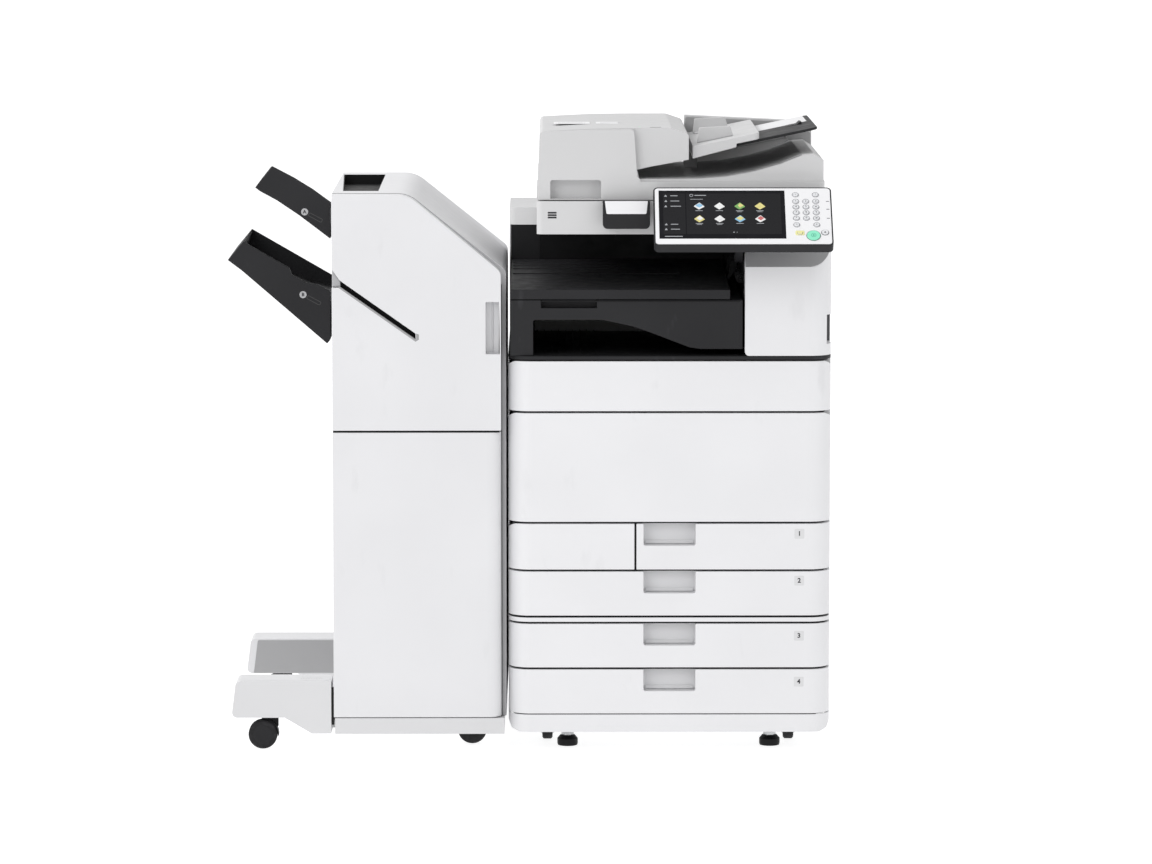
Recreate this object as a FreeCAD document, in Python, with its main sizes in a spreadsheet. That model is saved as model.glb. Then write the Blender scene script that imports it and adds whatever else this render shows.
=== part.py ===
"""Office photocopier with a document feeder, four paper drawers and a stapling finisher.

Lengths are in millimetres. Every outline is drawn in the machine's own coordinates: X = 0 is the
middle of the main unit, Y = 0 its front face (Y grows towards the back) and Z = 0 the floor.
place() then moves each piece so that the origin is under the middle of the whole machine.
"""
import FreeCAD, Part
import os
import re

import Sketcher

DIMENSIONS = {
    # Main unit
    "half_width": 310,
    "main_depth": 622,
    "corner": 42,
    "skin": 3,
    "seam": 4,
    "wrap": 45,
    "gauge": 1.6,
    "swing_return": 9,
    "swing_drop": 12,
    "skirt_bottom": 35,
    "skirt_top": 69,
    "drawer_4_bottom": 71,
    "drawer_4_top": 157,
    "drawer_3_bottom": 161,
    "drawer_3_top": 246,
    "rail_bottom": 250,
    "rail_top": 258,
    "drawer_2_bottom": 262,
    "drawer_2_top": 347.5,
    "drawer_1_bottom": 351.5,
    "drawer_1_top": 440,
    "drawer_1_left": -63.7,
    "front_cover_bottom": 444,
    "front_cover_top": 654,
    "toner_cover_bottom": 658,
    "toner_cover_top": 754,
    "bay_rim": 757,
    "bay_floor": 764,
    "bay_right": 143.5,
    "bay_back": 520,
    "bay_top": 992,
    # Drawers and their cassettes
    "grip_half": 50,
    "grip_drop": 42,
    "grip_depth": 28,
    "cassette_half": 255,
    "cassette_back": 560,
    "cassette_wall": 2.5,
    # Steel frame inside the covers
    "frame_left": -300,
    "frame_right": 285.6,
    "frame_front": 52,
    "frame_back": 592,
    "frame_floor": 44,
    "tower_front": 530,
    "column_left": 150,
    # Right side: door, bypass tray and column
    "door_inner": 296,
    "door_front": 49,
    "door_back": 560,
    "door_bottom": 264,
    "door_top": 931,
    "column_depth": 45,
    "slant_bottom": 935,
    "slant_top": 963,
    "slant_back": 24,
    # Relay unit in the output bay
    "relay_seam": 871,
    "relay_front": 6,
    "relay_back": 508,
    "relay_lid_right": 115,
    # Reader
    "reader_left": -255,
    "reader_right": 303,
    "reader_front": 12,
    "reader_back": 612,
    "reader_bottom": 997,
    "reader_top": 1060,
    "glass_half": 220,
    "glass_front": 130,
    "glass_back": 435,
    # Document feeder
    "feeder_left": -253,
    "feeder_right": 296,
    "feeder_front": 24,
    "feeder_back": 552,
    "feeder_bottom": 1062,
    "slab_top": 1097,
    "feeder_top": 1198,
    "plate": 12,
    "lid_axis_y": 566,
    "lid_axis_z": 1070.5,
    "tray_left": 44,
    "tray_end": 172,
    "tray_level": 1162.2,
    "tray_slope": 0.209,
    "tray_front": 60,
    "tray_back": 500,
    # Control panel, drawn flat and then tilted
    "panel_left": -33,
    "panel_width": 339,
    "panel_length": 154,
    "panel_thick": 20,
    "panel_face": 3,
    "panel_tilt": 41,
    "panel_reach": 122,
    "panel_foot": 987,
    "panel_rim": 2.8,
    "key_radius": 4.6,
    "key_gap": 0.5,
    "key_left": 68.5,
    "key_top": 116,
    "key_pitch": 19,
    "key_rise": 15,
    "start_radius": 12.5,
    "stop_radius": 6,
    "panel_axis_up": 55,
    "panel_axis_deep": 33,
    # Finisher
    "finisher_left": -647,
    "finisher_right": -314,
    "front_right": -323.5,
    "finisher_top": 1075,
    "slope_left": -501,
    "slope_foot": 926,
    "top_round": 60,
    "foot_round": 20,
    "cover_seam": 618.6,
    "cover_depth": 30,
    "finisher_corner": 25,
    "base_bottom": 31,
    "base_top": 62,
    "leg_left": -845,
    "leg_right": -652,
    "leg_top": 134,
    "leg_bottom": 63,
    "leg_depth": 84,
    "shelf": 700,
    "tray_reach": 851,
    "stack_front": 95,
    "stack_back": 412,
    # Wheels and pins
    "swivel_x": -765,
    "trail": 20,
    "caster_radius": 28,
    "twin_half": 12,
    "plate_bottom": 58,
    "front_caster_y": 27,
    "rear_caster_y": 576,
    "roller_x": -381,
    "roller_front_y": 80,
    "roller_pitch": 460,
    "wheel_x": 235,
    "wheel_radius": 21,
    "wheel_front_y": 128,
    "wheel_back_y": 520,
    "axle": 3,
    "running_gap": 0.05,
    "foot_x": 196,
    "foot_y": 44,
}

# Each direction's origin plane, and whether that plane's normal points along it.
PLANES = {"x": ("YZ_Plane", 1), "y": ("XZ_Plane", -1), "z": ("XY_Plane", 1)}

doc = FreeCAD.newDocument("photocopier")
sheet = doc.addObject("Spreadsheet::Sheet", "dim")
for row, (name, number) in enumerate(DIMENSIONS.items(), start=1):
    sheet.set("A%d" % row, name)
    sheet.set("B%d" % row, str(number))
    sheet.setAlias("B%d" % row, name)
doc.recompute()

nodes = []


# ---------------------------------------------------------------- helpers

def formula(text):
    """Point every dimension's name in the text at its cell in the sheet."""
    def point(word):
        return "dim." + word.group() if word.group() in DIMENSIONS else word.group()
    return re.sub(r"[a-z_][a-z_0-9]*", point, text)


def value(text):
    """The number that a formula gives now."""
    return float(sheet.evalExpression(formula(text)))


def bind(target, setting, text):
    """Tie one property of an object to a formula."""
    target.setExpression(setting, formula(text))


def place(piece, across="0", deep="0", up="0"):
    """Put the origin under the middle of the whole machine, then shift the piece."""
    bind(piece, "Placement.Base.x", "(tray_reach - half_width) / 2 + (%s)" % across)
    bind(piece, "Placement.Base.y", "(panel_reach - main_depth) / 2 + (%s)" % deep)
    bind(piece, "Placement.Base.z", up)


def new_piece(label, across="0", deep="0", up="0"):
    """An empty body that becomes one sub-part."""
    piece = doc.addObject("PartDesign::Body", label)
    place(piece, across, deep, up)
    nodes.append(piece)
    return piece


def rectangle(low_u, high_u, low_v, high_v):
    return [(low_u, low_v), (high_u, low_v), (high_u, high_v), (low_u, high_v)]


def new_sketch(piece, axis, level):
    """A sketch square to an axis, at a level along it."""
    plane, sense = PLANES[axis]
    sketch = piece.newObject("Sketcher::SketchObject", "Sketch")
    support = [plain for plain in piece.Origin.OriginFeatures if plain.Role == plane][0]
    sketch.AttachmentSupport = (support, [""])
    sketch.MapMode = "FlatFace"
    bind(sketch, "AttachmentOffset.Base.z", "%d * (%s)" % (sense, level))
    return sketch


def draw_outline(piece, axis, level, corners):
    """A closed outline of straight lines whose corners are tied to formulas."""
    sketch = new_sketch(piece, axis, level)
    points = [FreeCAD.Vector(value(u), value(v), 0) for u, v in corners]
    count = len(points)
    lines = [Part.LineSegment(points[i], points[(i + 1) % count]) for i in range(count)]
    sketch.addGeometry(lines)
    rules = [Sketcher.Constraint("Coincident", (i - 1) % count, 2, i, 1) for i in range(count)]
    for i, point in enumerate(points):
        rules.append(Sketcher.Constraint("DistanceX", -1, 1, i, 1, point.x))
        rules.append(Sketcher.Constraint("DistanceY", -1, 1, i, 1, point.y))
    sketch.addConstraint(rules)
    for i, (u, v) in enumerate(corners):
        bind(sketch, "Constraints[%d]" % (count + 2 * i), u)
        bind(sketch, "Constraints[%d]" % (count + 2 * i + 1), v)
    return sketch


def draw_circles(piece, axis, level, centres, radius):
    """Circles of one radius whose centres are tied to formulas."""
    sketch = new_sketch(piece, axis, level)
    for i, (u, v) in enumerate(centres):
        centre = FreeCAD.Vector(value(u), value(v), 0)
        sketch.addGeometry(Part.Circle(centre, FreeCAD.Vector(0, 0, 1), value(radius)))
        sketch.addConstraint([
            Sketcher.Constraint("DistanceX", -1, 1, i, 3, centre.x),
            Sketcher.Constraint("DistanceY", -1, 1, i, 3, centre.y),
            Sketcher.Constraint("Radius", i, value(radius))])
        for rule, text in enumerate((u, v, radius)):
            bind(sketch, "Constraints[%d]" % (3 * i + rule), text)
    return sketch


def extrude(piece, kind, sketch, start, end):
    """Pad or pocket a sketch, and make sure that it changed the volume the right way."""
    before = 0.0 if piece.Tip is None else piece.Tip.Shape.Volume
    feature = piece.newObject("PartDesign::" + kind, kind)
    feature.Profile = sketch
    bind(feature, "Length", "%s - (%s)" % (end, start))
    doc.recompute()
    gained = piece.Shape.Volume - before
    if (gained > 0) != (kind == "Pad"):
        raise ValueError("%s of %s has no effect" % (kind, piece.Label))
    return feature


def add(piece, axis, start, end, corners):
    """Add a prism that runs along an axis from start to end."""
    level = start if PLANES[axis][1] > 0 else end
    return extrude(piece, "Pad", draw_outline(piece, axis, level, corners), start, end)


def cut(piece, axis, start, end, corners):
    """Remove a prism that runs along an axis from start to end."""
    level = end if PLANES[axis][1] > 0 else start
    return extrude(piece, "Pocket", draw_outline(piece, axis, level, corners), start, end)


def add_round(piece, axis, start, end, centres, radius):
    level = start if PLANES[axis][1] > 0 else end
    return extrude(piece, "Pad", draw_circles(piece, axis, level, centres, radius), start, end)


def cut_round(piece, axis, start, end, centres, radius):
    level = end if PLANES[axis][1] > 0 else start
    return extrude(piece, "Pocket", draw_circles(piece, axis, level, centres, radius), start, end)


def is_corner(edge, axis, spots):
    """Whether a straight edge runs along the axis through one of the spots."""
    if edge.Curve.TypeId != "Part::GeomLine":
        return False
    run = edge.Vertexes[1].Point - edge.Vertexes[0].Point
    if abs(getattr(run, axis)) < 0.999 * run.Length:
        return False
    others = [getattr(edge.CenterOfMass, other) for other in "xyz" if other != axis]
    return any(abs(others[0] - u) < 0.01 and abs(others[1] - v) < 0.01 for u, v in spots)


def round_corners(piece, axis, radius, corners):
    """Round the edges that run along an axis through the given corners."""
    base = piece.Tip
    shape = base.Shape
    spots = [(value(u), value(v)) for u, v in corners]
    edges = ["Edge%d" % i for i, edge in enumerate(shape.Edges, start=1)
             if is_corner(edge, axis, spots)]
    if not edges:
        raise ValueError("%s has no edge to round" % piece.Label)
    fillet = piece.newObject("PartDesign::Fillet", "Fillet")
    fillet.Base = (base, edges)
    bind(fillet, "Radius", radius)
    doc.recompute()


def hollow(piece, thickness, axis, levels):
    """Leave a shell open at the flat faces that lie at the given levels of an axis."""
    base = piece.Tip
    marks = [value(level) for level in levels]
    faces = []
    for i, face in enumerate(base.Shape.Faces, start=1):
        if face.Surface.TypeId != "Part::GeomPlane" or abs(getattr(face.Surface.Axis, axis)) < 0.999:
            continue
        if any(abs(getattr(face.CenterOfMass, axis) - mark) < 0.01 for mark in marks):
            faces.append("Face%d" % i)
    shell = piece.newObject("PartDesign::Thickness", "Thickness")
    shell.Base = (base, faces)
    bind(shell, "Value", thickness)
    shell.Mode = 0
    shell.Join = 1
    shell.Reversed = True
    doc.recompute()
    if not 0 < piece.Shape.Volume < 0.7 * base.Shape.Volume:
        raise ValueError("%s was not hollowed" % piece.Label)


def turn(piece, axis, profile):
    """Revolve a profile of (along, radius) points about an axis through the origin."""
    sketch = draw_outline(piece, "y" if axis == "x" else "x", "0", profile)
    solid = piece.newObject("PartDesign::Revolution", "Revolution")
    solid.Profile = sketch
    solid.ReferenceAxis = (sketch, ["H_Axis"])
    solid.Angle = 360
    doc.recompute()
    return solid, sketch


def repeat(piece, feature, sketch, direction, distance):
    """Make a second, separate copy of a feature at a distance along its sketch's axis."""
    pattern = piece.newObject("PartDesign::LinearPattern", "Pattern")
    pattern.Originals = [feature]
    pattern.Direction = (sketch, [direction])
    pattern.Occurrences = 2
    bind(pattern, "Length", distance)
    piece.Tip = pattern
    doc.recompute()


def shell_front(label, left, right, bottom, top, rounded, swings=False):
    """A front panel: a skin with returns along its four sides, open at the back.

    One that swings on its bottom edge has its top return cut back, to clear the part above it.
    """
    piece = new_piece(label)
    add(piece, "z", bottom, top, rectangle(left, right, "0", "wrap"))
    round_corners(piece, "z", "corner", [(side, "0") for side in rounded])
    hollow(piece, "skin", "y", ["wrap"])
    if swings:
        corner = [("swing_return", top + " + 1"), ("wrap + 1", top + " + 1"),
                  ("wrap + 1", top + " - swing_drop")]
        cut(piece, "x", "-half_width - 1", "half_width + 1", corner)
    return piece


# ---------------------------------------------------------------- main unit

def make_main_frame():
    """Folded steel: side plates, a back plate, decks and the tower that carries the reader."""
    frame = new_piece("main_frame")
    left = ("frame_left", "frame_left + gauge")
    right = ("frame_right - gauge", "frame_right")
    depth = ("frame_front", "frame_back")
    add(frame, "z", "frame_floor", "bay_rim - gauge", rectangle(*left, *depth))
    for level in ("frame_floor", "rail_top - 6", "front_cover_bottom - gauge",
                  "front_cover_top + 1", "bay_rim - 2 * gauge"):
        add(frame, "z", level, level + " + gauge", rectangle("frame_left", "frame_right", *depth))
    add(frame, "z", "frame_floor", "bay_top", rectangle(*right, *depth))
    back = rectangle("frame_left", "frame_right", "frame_floor", "bay_top")
    add(frame, "y", "frame_back - gauge", "frame_back", back)
    tower = rectangle("frame_left", "column_left", "bay_rim - gauge", "bay_top")
    add(frame, "y", "tower_front", "tower_front + gauge", tower)
    column = rectangle("column_left", "column_left + gauge", "column_depth + 4", "frame_back")
    add(frame, "z", "bay_rim - gauge", "bay_top", column)
    top = [("frame_left", "tower_front"), ("column_left", "tower_front"),
           ("column_left", "column_depth + 4"), ("frame_right", "column_depth + 4"),
           ("frame_right", "frame_back"), ("frame_left", "frame_back")]
    add(frame, "z", "bay_top", "reader_bottom - 0.5", top)
    for side in ("-wheel_x", "wheel_x"):
        for deep in ("wheel_front_y", "wheel_back_y"):
            add_wheel_bracket(frame, side, deep)


def add_wheel_bracket(frame, side, deep):
    """Two cheeks below the floor plate with an axle between them."""
    across = "%s + (%s)"
    for near, far in (("-13", "-11"), ("11", "13")):
        cheek = rectangle(deep + " - 9", deep + " + 9", "wheel_radius - 8", "frame_floor + gauge")
        add(frame, "x", across % (side, near), across % (side, far), cheek)
    add_round(frame, "x", across % (side, "-12"), across % (side, "12"),
              [(deep, "wheel_radius")], "axle")


def make_main_wheels(label, deep):
    """Two wheels that share one line, under the left and right of the frame."""
    wheels = new_piece(label, "-wheel_x", deep, "wheel_radius")
    bore = "axle + running_gap"
    profile = [("-10", bore), ("10", bore), ("10", "wheel_radius - 3"), ("7", "wheel_radius"),
               ("-7", "wheel_radius"), ("-10", "wheel_radius - 3")]
    wheel, sketch = turn(wheels, "x", profile)
    repeat(wheels, wheel, sketch, "H_Axis", "2 * wheel_x")


def make_adjuster_feet():
    """Two screwed feet under the front of the frame."""
    feet = new_piece("adjuster_feet", "-foot_x", "foot_y + 16")
    profile = [("0", "0"), ("19", "0"), ("20", "4"), ("20", "13"), ("14", "20"), ("6", "20"),
               ("6", "frame_floor"), ("0", "frame_floor")]
    sketch = draw_outline(feet, "y", "0", profile)
    solid = feet.newObject("PartDesign::Revolution", "Revolution")
    solid.Profile = sketch
    solid.ReferenceAxis = (sketch, ["V_Axis"])
    solid.Angle = 360
    doc.recompute()
    repeat(feet, solid, sketch, "H_Axis", "2 * foot_x")


def make_pedestal_cover():
    """Skirt, side skins and top rail of the lower two drawers' cabinet, in one moulding."""
    cover = new_piece("pedestal_cover")
    plan = rectangle("-half_width", "half_width", "0", "main_depth - skin")
    add(cover, "z", "skirt_bottom", "rail_top", plan)
    round_corners(cover, "z", "corner", [("-half_width", "0"), ("half_width", "0")])
    hollow(cover, "skin", "z", ["skirt_bottom", "rail_top"])
    inner = rectangle("-half_width + skin", "half_width - skin", "skirt_bottom - 1", "rail_top + 1")
    cut(cover, "y", "main_depth - 2 * skin - 1", "main_depth", inner)
    window = rectangle("-half_width - 1", "half_width + 1", "skirt_top", "rail_bottom")
    cut(cover, "y", "-1", "wrap + seam", window)
    for side in ("-", ""):
        curve = [("half_width - 20", "skirt_bottom"), ("half_width - 6", "skirt_bottom + 6"),
                 ("half_width", "skirt_bottom + 20"), ("half_width + 1", "skirt_bottom + 20"),
                 ("half_width + 1", "skirt_bottom - 1"), ("half_width - 20", "skirt_bottom - 1")]
        cut(cover, "y", "-1", "main_depth", [("%s(%s)" % (side, u), v) for u, v in curve])


def make_side_and_back():
    """The left cover is flat; the rear cover turns the corner on the door's side."""
    left = new_piece("left_cover")
    profile = [("wrap + seam", "rail_top + seam"), ("main_depth - skin", "rail_top + seam"),
               ("main_depth - skin", "bay_top"), ("bay_back + 8", "bay_top"),
               ("bay_back + 8", "toner_cover_top"), ("wrap + seam", "toner_cover_top")]
    add(left, "x", "-half_width", "-half_width + skin", profile)

    rear = new_piece("rear_cover")
    low = ("skirt_bottom + 3", "bay_top")
    plan = rectangle("-half_width", "half_width", "main_depth - skin", "main_depth")
    add(rear, "z", *low, plan)
    turned = rectangle("half_width - skin", "half_width", "door_back + seam", "main_depth - skin")
    add(rear, "z", "rail_top + seam", "bay_top", turned)
    for number in range(8):
        level = "skirt_bottom + %d" % (260 + 14 * number)
        slot = rectangle("-210", "-90", level, level + " + 5")
        cut(rear, "y", "main_depth - skin - 1", "main_depth + 1", slot)
    inlet = rectangle("200", "248", "90", "122")
    cut(rear, "y", "main_depth - skin - 1", "main_depth + 1", inlet)


def make_power_inlet():
    """Appliance inlet: a flange in the rear cover's window, a deep well and three blades."""
    inlet = new_piece("power_inlet", "224", "main_depth", "106")
    add(inlet, "y", "-22", "0", rectangle("-23.8", "23.8", "-15.8", "15.8"))
    cut(inlet, "y", "-17", "1", rectangle("-13.5", "13.5", "-10", "10"))
    for across, up in (("-7", "-3"), ("7", "-3"), ("0", "4")):
        blade = rectangle(across + " - 1", across + " + 1", up + " - 2", up + " + 2")
        add(inlet, "y", "-18", "-3", blade)


def make_output_bay():
    """Black moulding: the bay's floor with its front rim, its back wall and its right wall."""
    bay = new_piece("output_bay")
    floor = [("-half_width", "0"), ("half_width", "0"), ("half_width", "wrap + seam"),
             ("bay_right + skin", "wrap + seam"), ("bay_right + skin", "bay_back + seam"),
             ("-half_width", "bay_back + seam")]
    add(bay, "z", "bay_rim", "bay_floor", floor)
    round_corners(bay, "z", "corner", [("-half_width", "0"), ("half_width", "0")])
    back = rectangle("-half_width + skin", "bay_right + skin", "bay_floor", "bay_top")
    add(bay, "y", "bay_back", "bay_back + seam", back)
    side = rectangle("column_depth + 0.5", "bay_back + seam", "bay_floor", "bay_top")
    add(bay, "x", "bay_right", "bay_right + skin", side)


def make_right_column_cover():
    """The white column beside the bay, with a slanted top edge and a grip for the right door."""
    column = new_piece("right_column_cover")
    plan = rectangle("bay_right", "half_width", "0", "column_depth")
    add(column, "z", "bay_floor + 0.5", "bay_top", plan)
    round_corners(column, "z", "corner", [("half_width", "0")])
    slant = [("-1", "slant_bottom"), ("0", "slant_bottom"), ("slant_back", "slant_top"),
             ("slant_back", "bay_top + 1"), ("-1", "bay_top + 1")]
    cut(column, "x", "bay_right - 1", "half_width + 1", slant)
    round_corners(column, "y", "8", [("bay_right", "bay_floor + 0.5")])
    hollow(column, "skin", "y", ["column_depth"])
    add(column, "z", "783", "845", rectangle("half_width - 14", "half_width - 3", "30", "column_depth"))
    cut(column, "z", "786", "842", rectangle("half_width - 11", "half_width + 1", "16", "column_depth + 1"))
    beside = rectangle("column_depth", "door_back + seam", "slant_bottom", "bay_top")
    add(column, "x", "half_width - skin", "half_width", beside)
    tab = rectangle("column_depth - 4", "column_depth + 2", "slant_bottom + 4", "bay_top - 2")
    add(column, "x", "half_width - skin - 1", "half_width - 0.5", tab)


def make_relay_unit():
    """Carries paper across the bay to the finisher; its underside sweeps down to the right."""
    relay = new_piece("relay_unit")
    left = "-half_width + 4"
    right = "bay_right - 4.5"
    profile = [(left, "bay_floor + 0.5"), (left + " + 44", "bay_floor + 0.5"), (left + " + 44", "833"),
               ("-129", "833"), ("-69", "820"), ("-27", "805"), ("38", "780"), ("60", "777"),
               (right, "777"), (right, "relay_seam"), (left, "relay_seam")]
    add(relay, "y", "relay_front", "relay_back", profile)
    round_corners(relay, "y", "4", [(left + " + 44", "833")])
    cut(relay, "y", "relay_front - 1", "relay_front + 20",
        rectangle("-247", "-140", "856", "relay_seam + 1"))
    inside = rectangle(left + " + 4", right + " - 4", "838", "866")
    cut(relay, "y", "relay_front + 24", "relay_back - 4", inside)

    lid = new_piece("relay_cover")
    profile = [("relay_front", "relay_seam + 1.5"), ("relay_front", "relay_seam + 20"),
               ("relay_back", "relay_seam + 37"), ("relay_back", "relay_seam + 1.5")]
    add(lid, "x", left, "relay_lid_right", profile)
    hollow(lid, "skin", "z", ["relay_seam + 1.5"])


def make_front_covers():
    """Three covers that hinge along their bottom edges."""
    both = ("-half_width", "half_width")
    shell_front("toner_cover", *both, "toner_cover_bottom", "toner_cover_top", both, swings=True)
    shell_front("front_cover", *both, "front_cover_bottom", "front_cover_top", both, swings=True)
    shell_front("waste_toner_cover", "-half_width", "drawer_1_left - seam",
                "drawer_1_bottom", "drawer_1_top", ["-half_width"], swings=True)


def make_drawer(number):
    """A drawer front with a grip pocket, and the open paper cassette behind it."""
    bottom = "drawer_%d_bottom" % number
    top = "drawer_%d_top" % number
    left = "drawer_1_left" if number == 1 else "-half_width"
    rounded = ["half_width"] if number == 1 else ["-half_width", "half_width"]
    front = shell_front("drawer_front_%d" % number, left, "half_width", bottom, top, rounded)
    cup = rectangle("-grip_half - skin", "grip_half + skin", top + " - grip_drop - skin", top)
    add(front, "y", "1", "grip_depth + skin", cup)
    well = rectangle("-grip_half", "grip_half", top + " - grip_drop", top + " + 1")
    cut(front, "y", "-1", "grip_depth", well)
    round_corners(front, "y", "4", [("-grip_half", top + " - grip_drop"),
                                    ("grip_half", top + " - grip_drop")])

    cassette = new_piece("cassette_%d" % number)
    side = "drawer_1_left + seam" if number == 1 else "-cassette_half"
    box = rectangle(side, "cassette_half", "wrap", "cassette_back")
    add(cassette, "z", bottom + " + 5", top + " - 14", box)
    space = rectangle(side + " + cassette_wall", "cassette_half - cassette_wall",
                      "wrap + cassette_wall", "cassette_back - cassette_wall")
    cut(cassette, "z", bottom + " + 5 + cassette_wall", top + " - 13", space)


def make_right_door():
    """A thick side door with a recess, and the bypass tray that folds flush into it."""
    door = new_piece("right_door")
    face = rectangle("door_front", "door_back", "door_bottom", "door_top")
    add(door, "x", "door_inner", "half_width", face)
    cut(door, "x", "half_width - 9", "half_width + 1", rectangle("110", "450", "480", "760"))
    cut(door, "x", "half_width - 11", "half_width + 1", rectangle("door_front - 1", "72", "786", "842"))

    tray = new_piece("bypass_tray")
    add(tray, "x", "half_width - 7", "half_width", rectangle("112", "448", "482", "758"))
    cut(tray, "x", "half_width - 4", "half_width + 1", rectangle("250", "310", "738", "759"))


def make_toner_bottles():
    """Four bottles side by side, each turned about its own axis by the drive behind it."""
    for number in range(1, 5):
        bottle = new_piece("toner_bottle_%d" % number, "%d" % (105 * number - 315), "62", "705")
        profile = [("0", "0"), ("0", "26"), ("6", "31"), ("60", "31"), ("62", "28"), ("330", "28"),
                   ("345", "20"), ("372", "20"), ("372", "0")]
        turn(bottle, "y", profile)


def make_engine_units():
    """The drum and belt block behind the front cover, and the fuser behind the right door."""
    imaging = new_piece("imaging_unit")
    add(imaging, "y", "75", "480", rectangle("-262", "148", "448", "640"))
    for number in range(4):
        left = -240 + 100 * number
        knob = rectangle("%d" % left, "%d" % (left + 60), "480", "560")
        add(imaging, "y", "57", "76", knob)
    fuser = new_piece("fuser_unit")
    add(fuser, "y", "90", "510", rectangle("165", "282", "660", "745"))
    cut(fuser, "y", "89", "511", rectangle("250", "283", "690", "715"))


# ---------------------------------------------------------------- reader

def make_reader():
    """The scanner's box: glass on top, carriage inside, hinge posts at the back."""
    reader = new_piece("reader_housing")
    outside = rectangle("reader_left", "reader_right", "reader_front", "reader_back")
    add(reader, "z", "reader_bottom", "reader_top", outside)
    round_corners(reader, "z", "12", [("reader_left", "reader_front"), ("reader_right", "reader_front")])
    inside = rectangle("reader_left + 4", "reader_right - 4", "reader_front + 4", "reader_back - 4")
    cut(reader, "z", "reader_bottom + 3", "reader_top - 3", inside)
    cut(reader, "z", "reader_top - 4", "reader_top + 1",
        rectangle("-glass_half", "glass_half", "glass_front", "glass_back"))
    cut(reader, "z", "reader_top - 4", "reader_top + 1",
        rectangle("-glass_half - 24", "-glass_half - 6", "glass_front", "glass_back"))
    for deep in ("glass_front + 20", "glass_back - 26"):
        add(reader, "z", "reader_bottom + 2", "reader_bottom + 16",
            rectangle("reader_left + 3", "reader_right - 3", deep, deep + " + 6"))
    add(reader, "z", "1012", "1045", rectangle("-half_width + 3", "reader_left + 1", "60", "320"))
    round_corners(reader, "z", "12", [("-half_width + 3", "60")])
    for left in ("-190", "200"):
        post = rectangle("lid_axis_y - 8", "lid_axis_y + 8", "reader_top - 1", "lid_axis_z + 8")
        add(reader, "x", left, left + " + 30", post)
    cut_round(reader, "x", "-191", "231", [("lid_axis_y", "lid_axis_z")], "axle + running_gap")

    glass = new_piece("platen_glass")
    gap = "0.3"
    sheet_plan = rectangle("-glass_half + " + gap, "glass_half - " + gap,
                           "glass_front + " + gap, "glass_back - " + gap)
    add(glass, "z", "reader_top - 3", "reader_top", sheet_plan)
    strip = rectangle("-glass_half - 23.7", "-glass_half - 6.3", "glass_front + " + gap,
                      "glass_back - " + gap)
    add(glass, "z", "reader_top - 3", "reader_top", strip)

    carriage = new_piece("scan_carriage")
    beam = rectangle("-glass_half + 10", "-glass_half + 60", "glass_front + 4", "glass_back - 4")
    add(carriage, "z", "reader_bottom + 16.5", "reader_top - 12", beam)
    add(carriage, "z", "reader_top - 13", "reader_top - 9",
        rectangle("-glass_half + 14", "-glass_half + 18", "glass_front + 6", "glass_back - 6"))


# ---------------------------------------------------------------- document feeder

def make_feeder_body():
    """The lid over the glass: base slab, front plate, curved output surface, rear wall, lugs."""
    body = new_piece("adf_body")
    slab = rectangle("feeder_left", "feeder_right", "feeder_bottom", "slab_top")
    add(body, "y", "feeder_front", "feeder_back", slab)
    front = [("feeder_left", "slab_top - 1"), ("-57", "slab_top - 1"), ("-57", "slab_top + 4"),
             ("-63", "slab_top + 10"), ("-69", "feeder_top - 1"), ("-150", "feeder_top - 2"),
             ("feeder_left + 4", "feeder_top - 6")]
    add(body, "y", "feeder_front", "feeder_front + plate", front)
    round_corners(body, "y", "8", [("feeder_left + 4", "feeder_top - 6"), ("-69", "feeder_top - 1")])
    round_corners(body, "z", "10", [("feeder_right", "feeder_front")])
    step = [("feeder_left + 4", "slab_top - 1"), ("-58", "slab_top - 1"), ("-62", "1117"),
            ("feeder_left + 4", "1117")]
    add(body, "y", "feeder_front + plate - 1", "feeder_back", step)
    surface = [("-70", "slab_top - 1"), ("feeder_right - 2", "slab_top - 1"), ("feeder_right - 2", "1137"),
               ("276", "1149"), ("255", "1147"), ("210", "1129"), ("160", "1115"), ("110", "1106"),
               ("60", "1102"), ("-58", "1101")]
    add(body, "y", "feeder_front + 10", "feeder_back", surface)
    rear = [("40", "1100"), ("247", "1100"), ("247", "1186"), ("40", "feeder_top - 2")]
    add(body, "y", "feeder_back - 38", "feeder_back", rear)
    add(body, "y", "feeder_back - 47", "feeder_back", rectangle("245", "feeder_right - 2", "1100", "1166"))
    inside = rectangle("feeder_left + 5", "feeder_right - 5", "feeder_front + 32", "feeder_back - 5")
    cut(body, "z", "feeder_bottom + 3", "slab_top - 4", inside)
    cable = rectangle("100", "130", "feeder_bottom + 8", "feeder_bottom + 22")
    cut(body, "y", "feeder_back - 8", "feeder_back + 1", cable)
    grip = rectangle("-229", "-132", "feeder_bottom + 2", "slab_top + 3")
    cut(body, "y", "feeder_front - 1", "feeder_front + 24", grip)
    round_corners(body, "y", "5", [("-229", "slab_top + 3"), ("-132", "slab_top + 3")])
    for left in ("-190", "200"):
        for near in (left + " - 8.4", left + " + 30.4"):
            lug = rectangle("feeder_back - 1", "lid_axis_y + 7", "lid_axis_z - 7", "lid_axis_z + 7")
            add(body, "x", near, near + " + 8", lug)
        add_round(body, "x", left + " - 2", left + " + 32", [("lid_axis_y", "lid_axis_z")], "axle")
    for deep in ("330", "440"):
        post = rectangle("37", "60", "1100", "1135.6")
        add(body, "y", deep, deep + " + 10", post)


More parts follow.
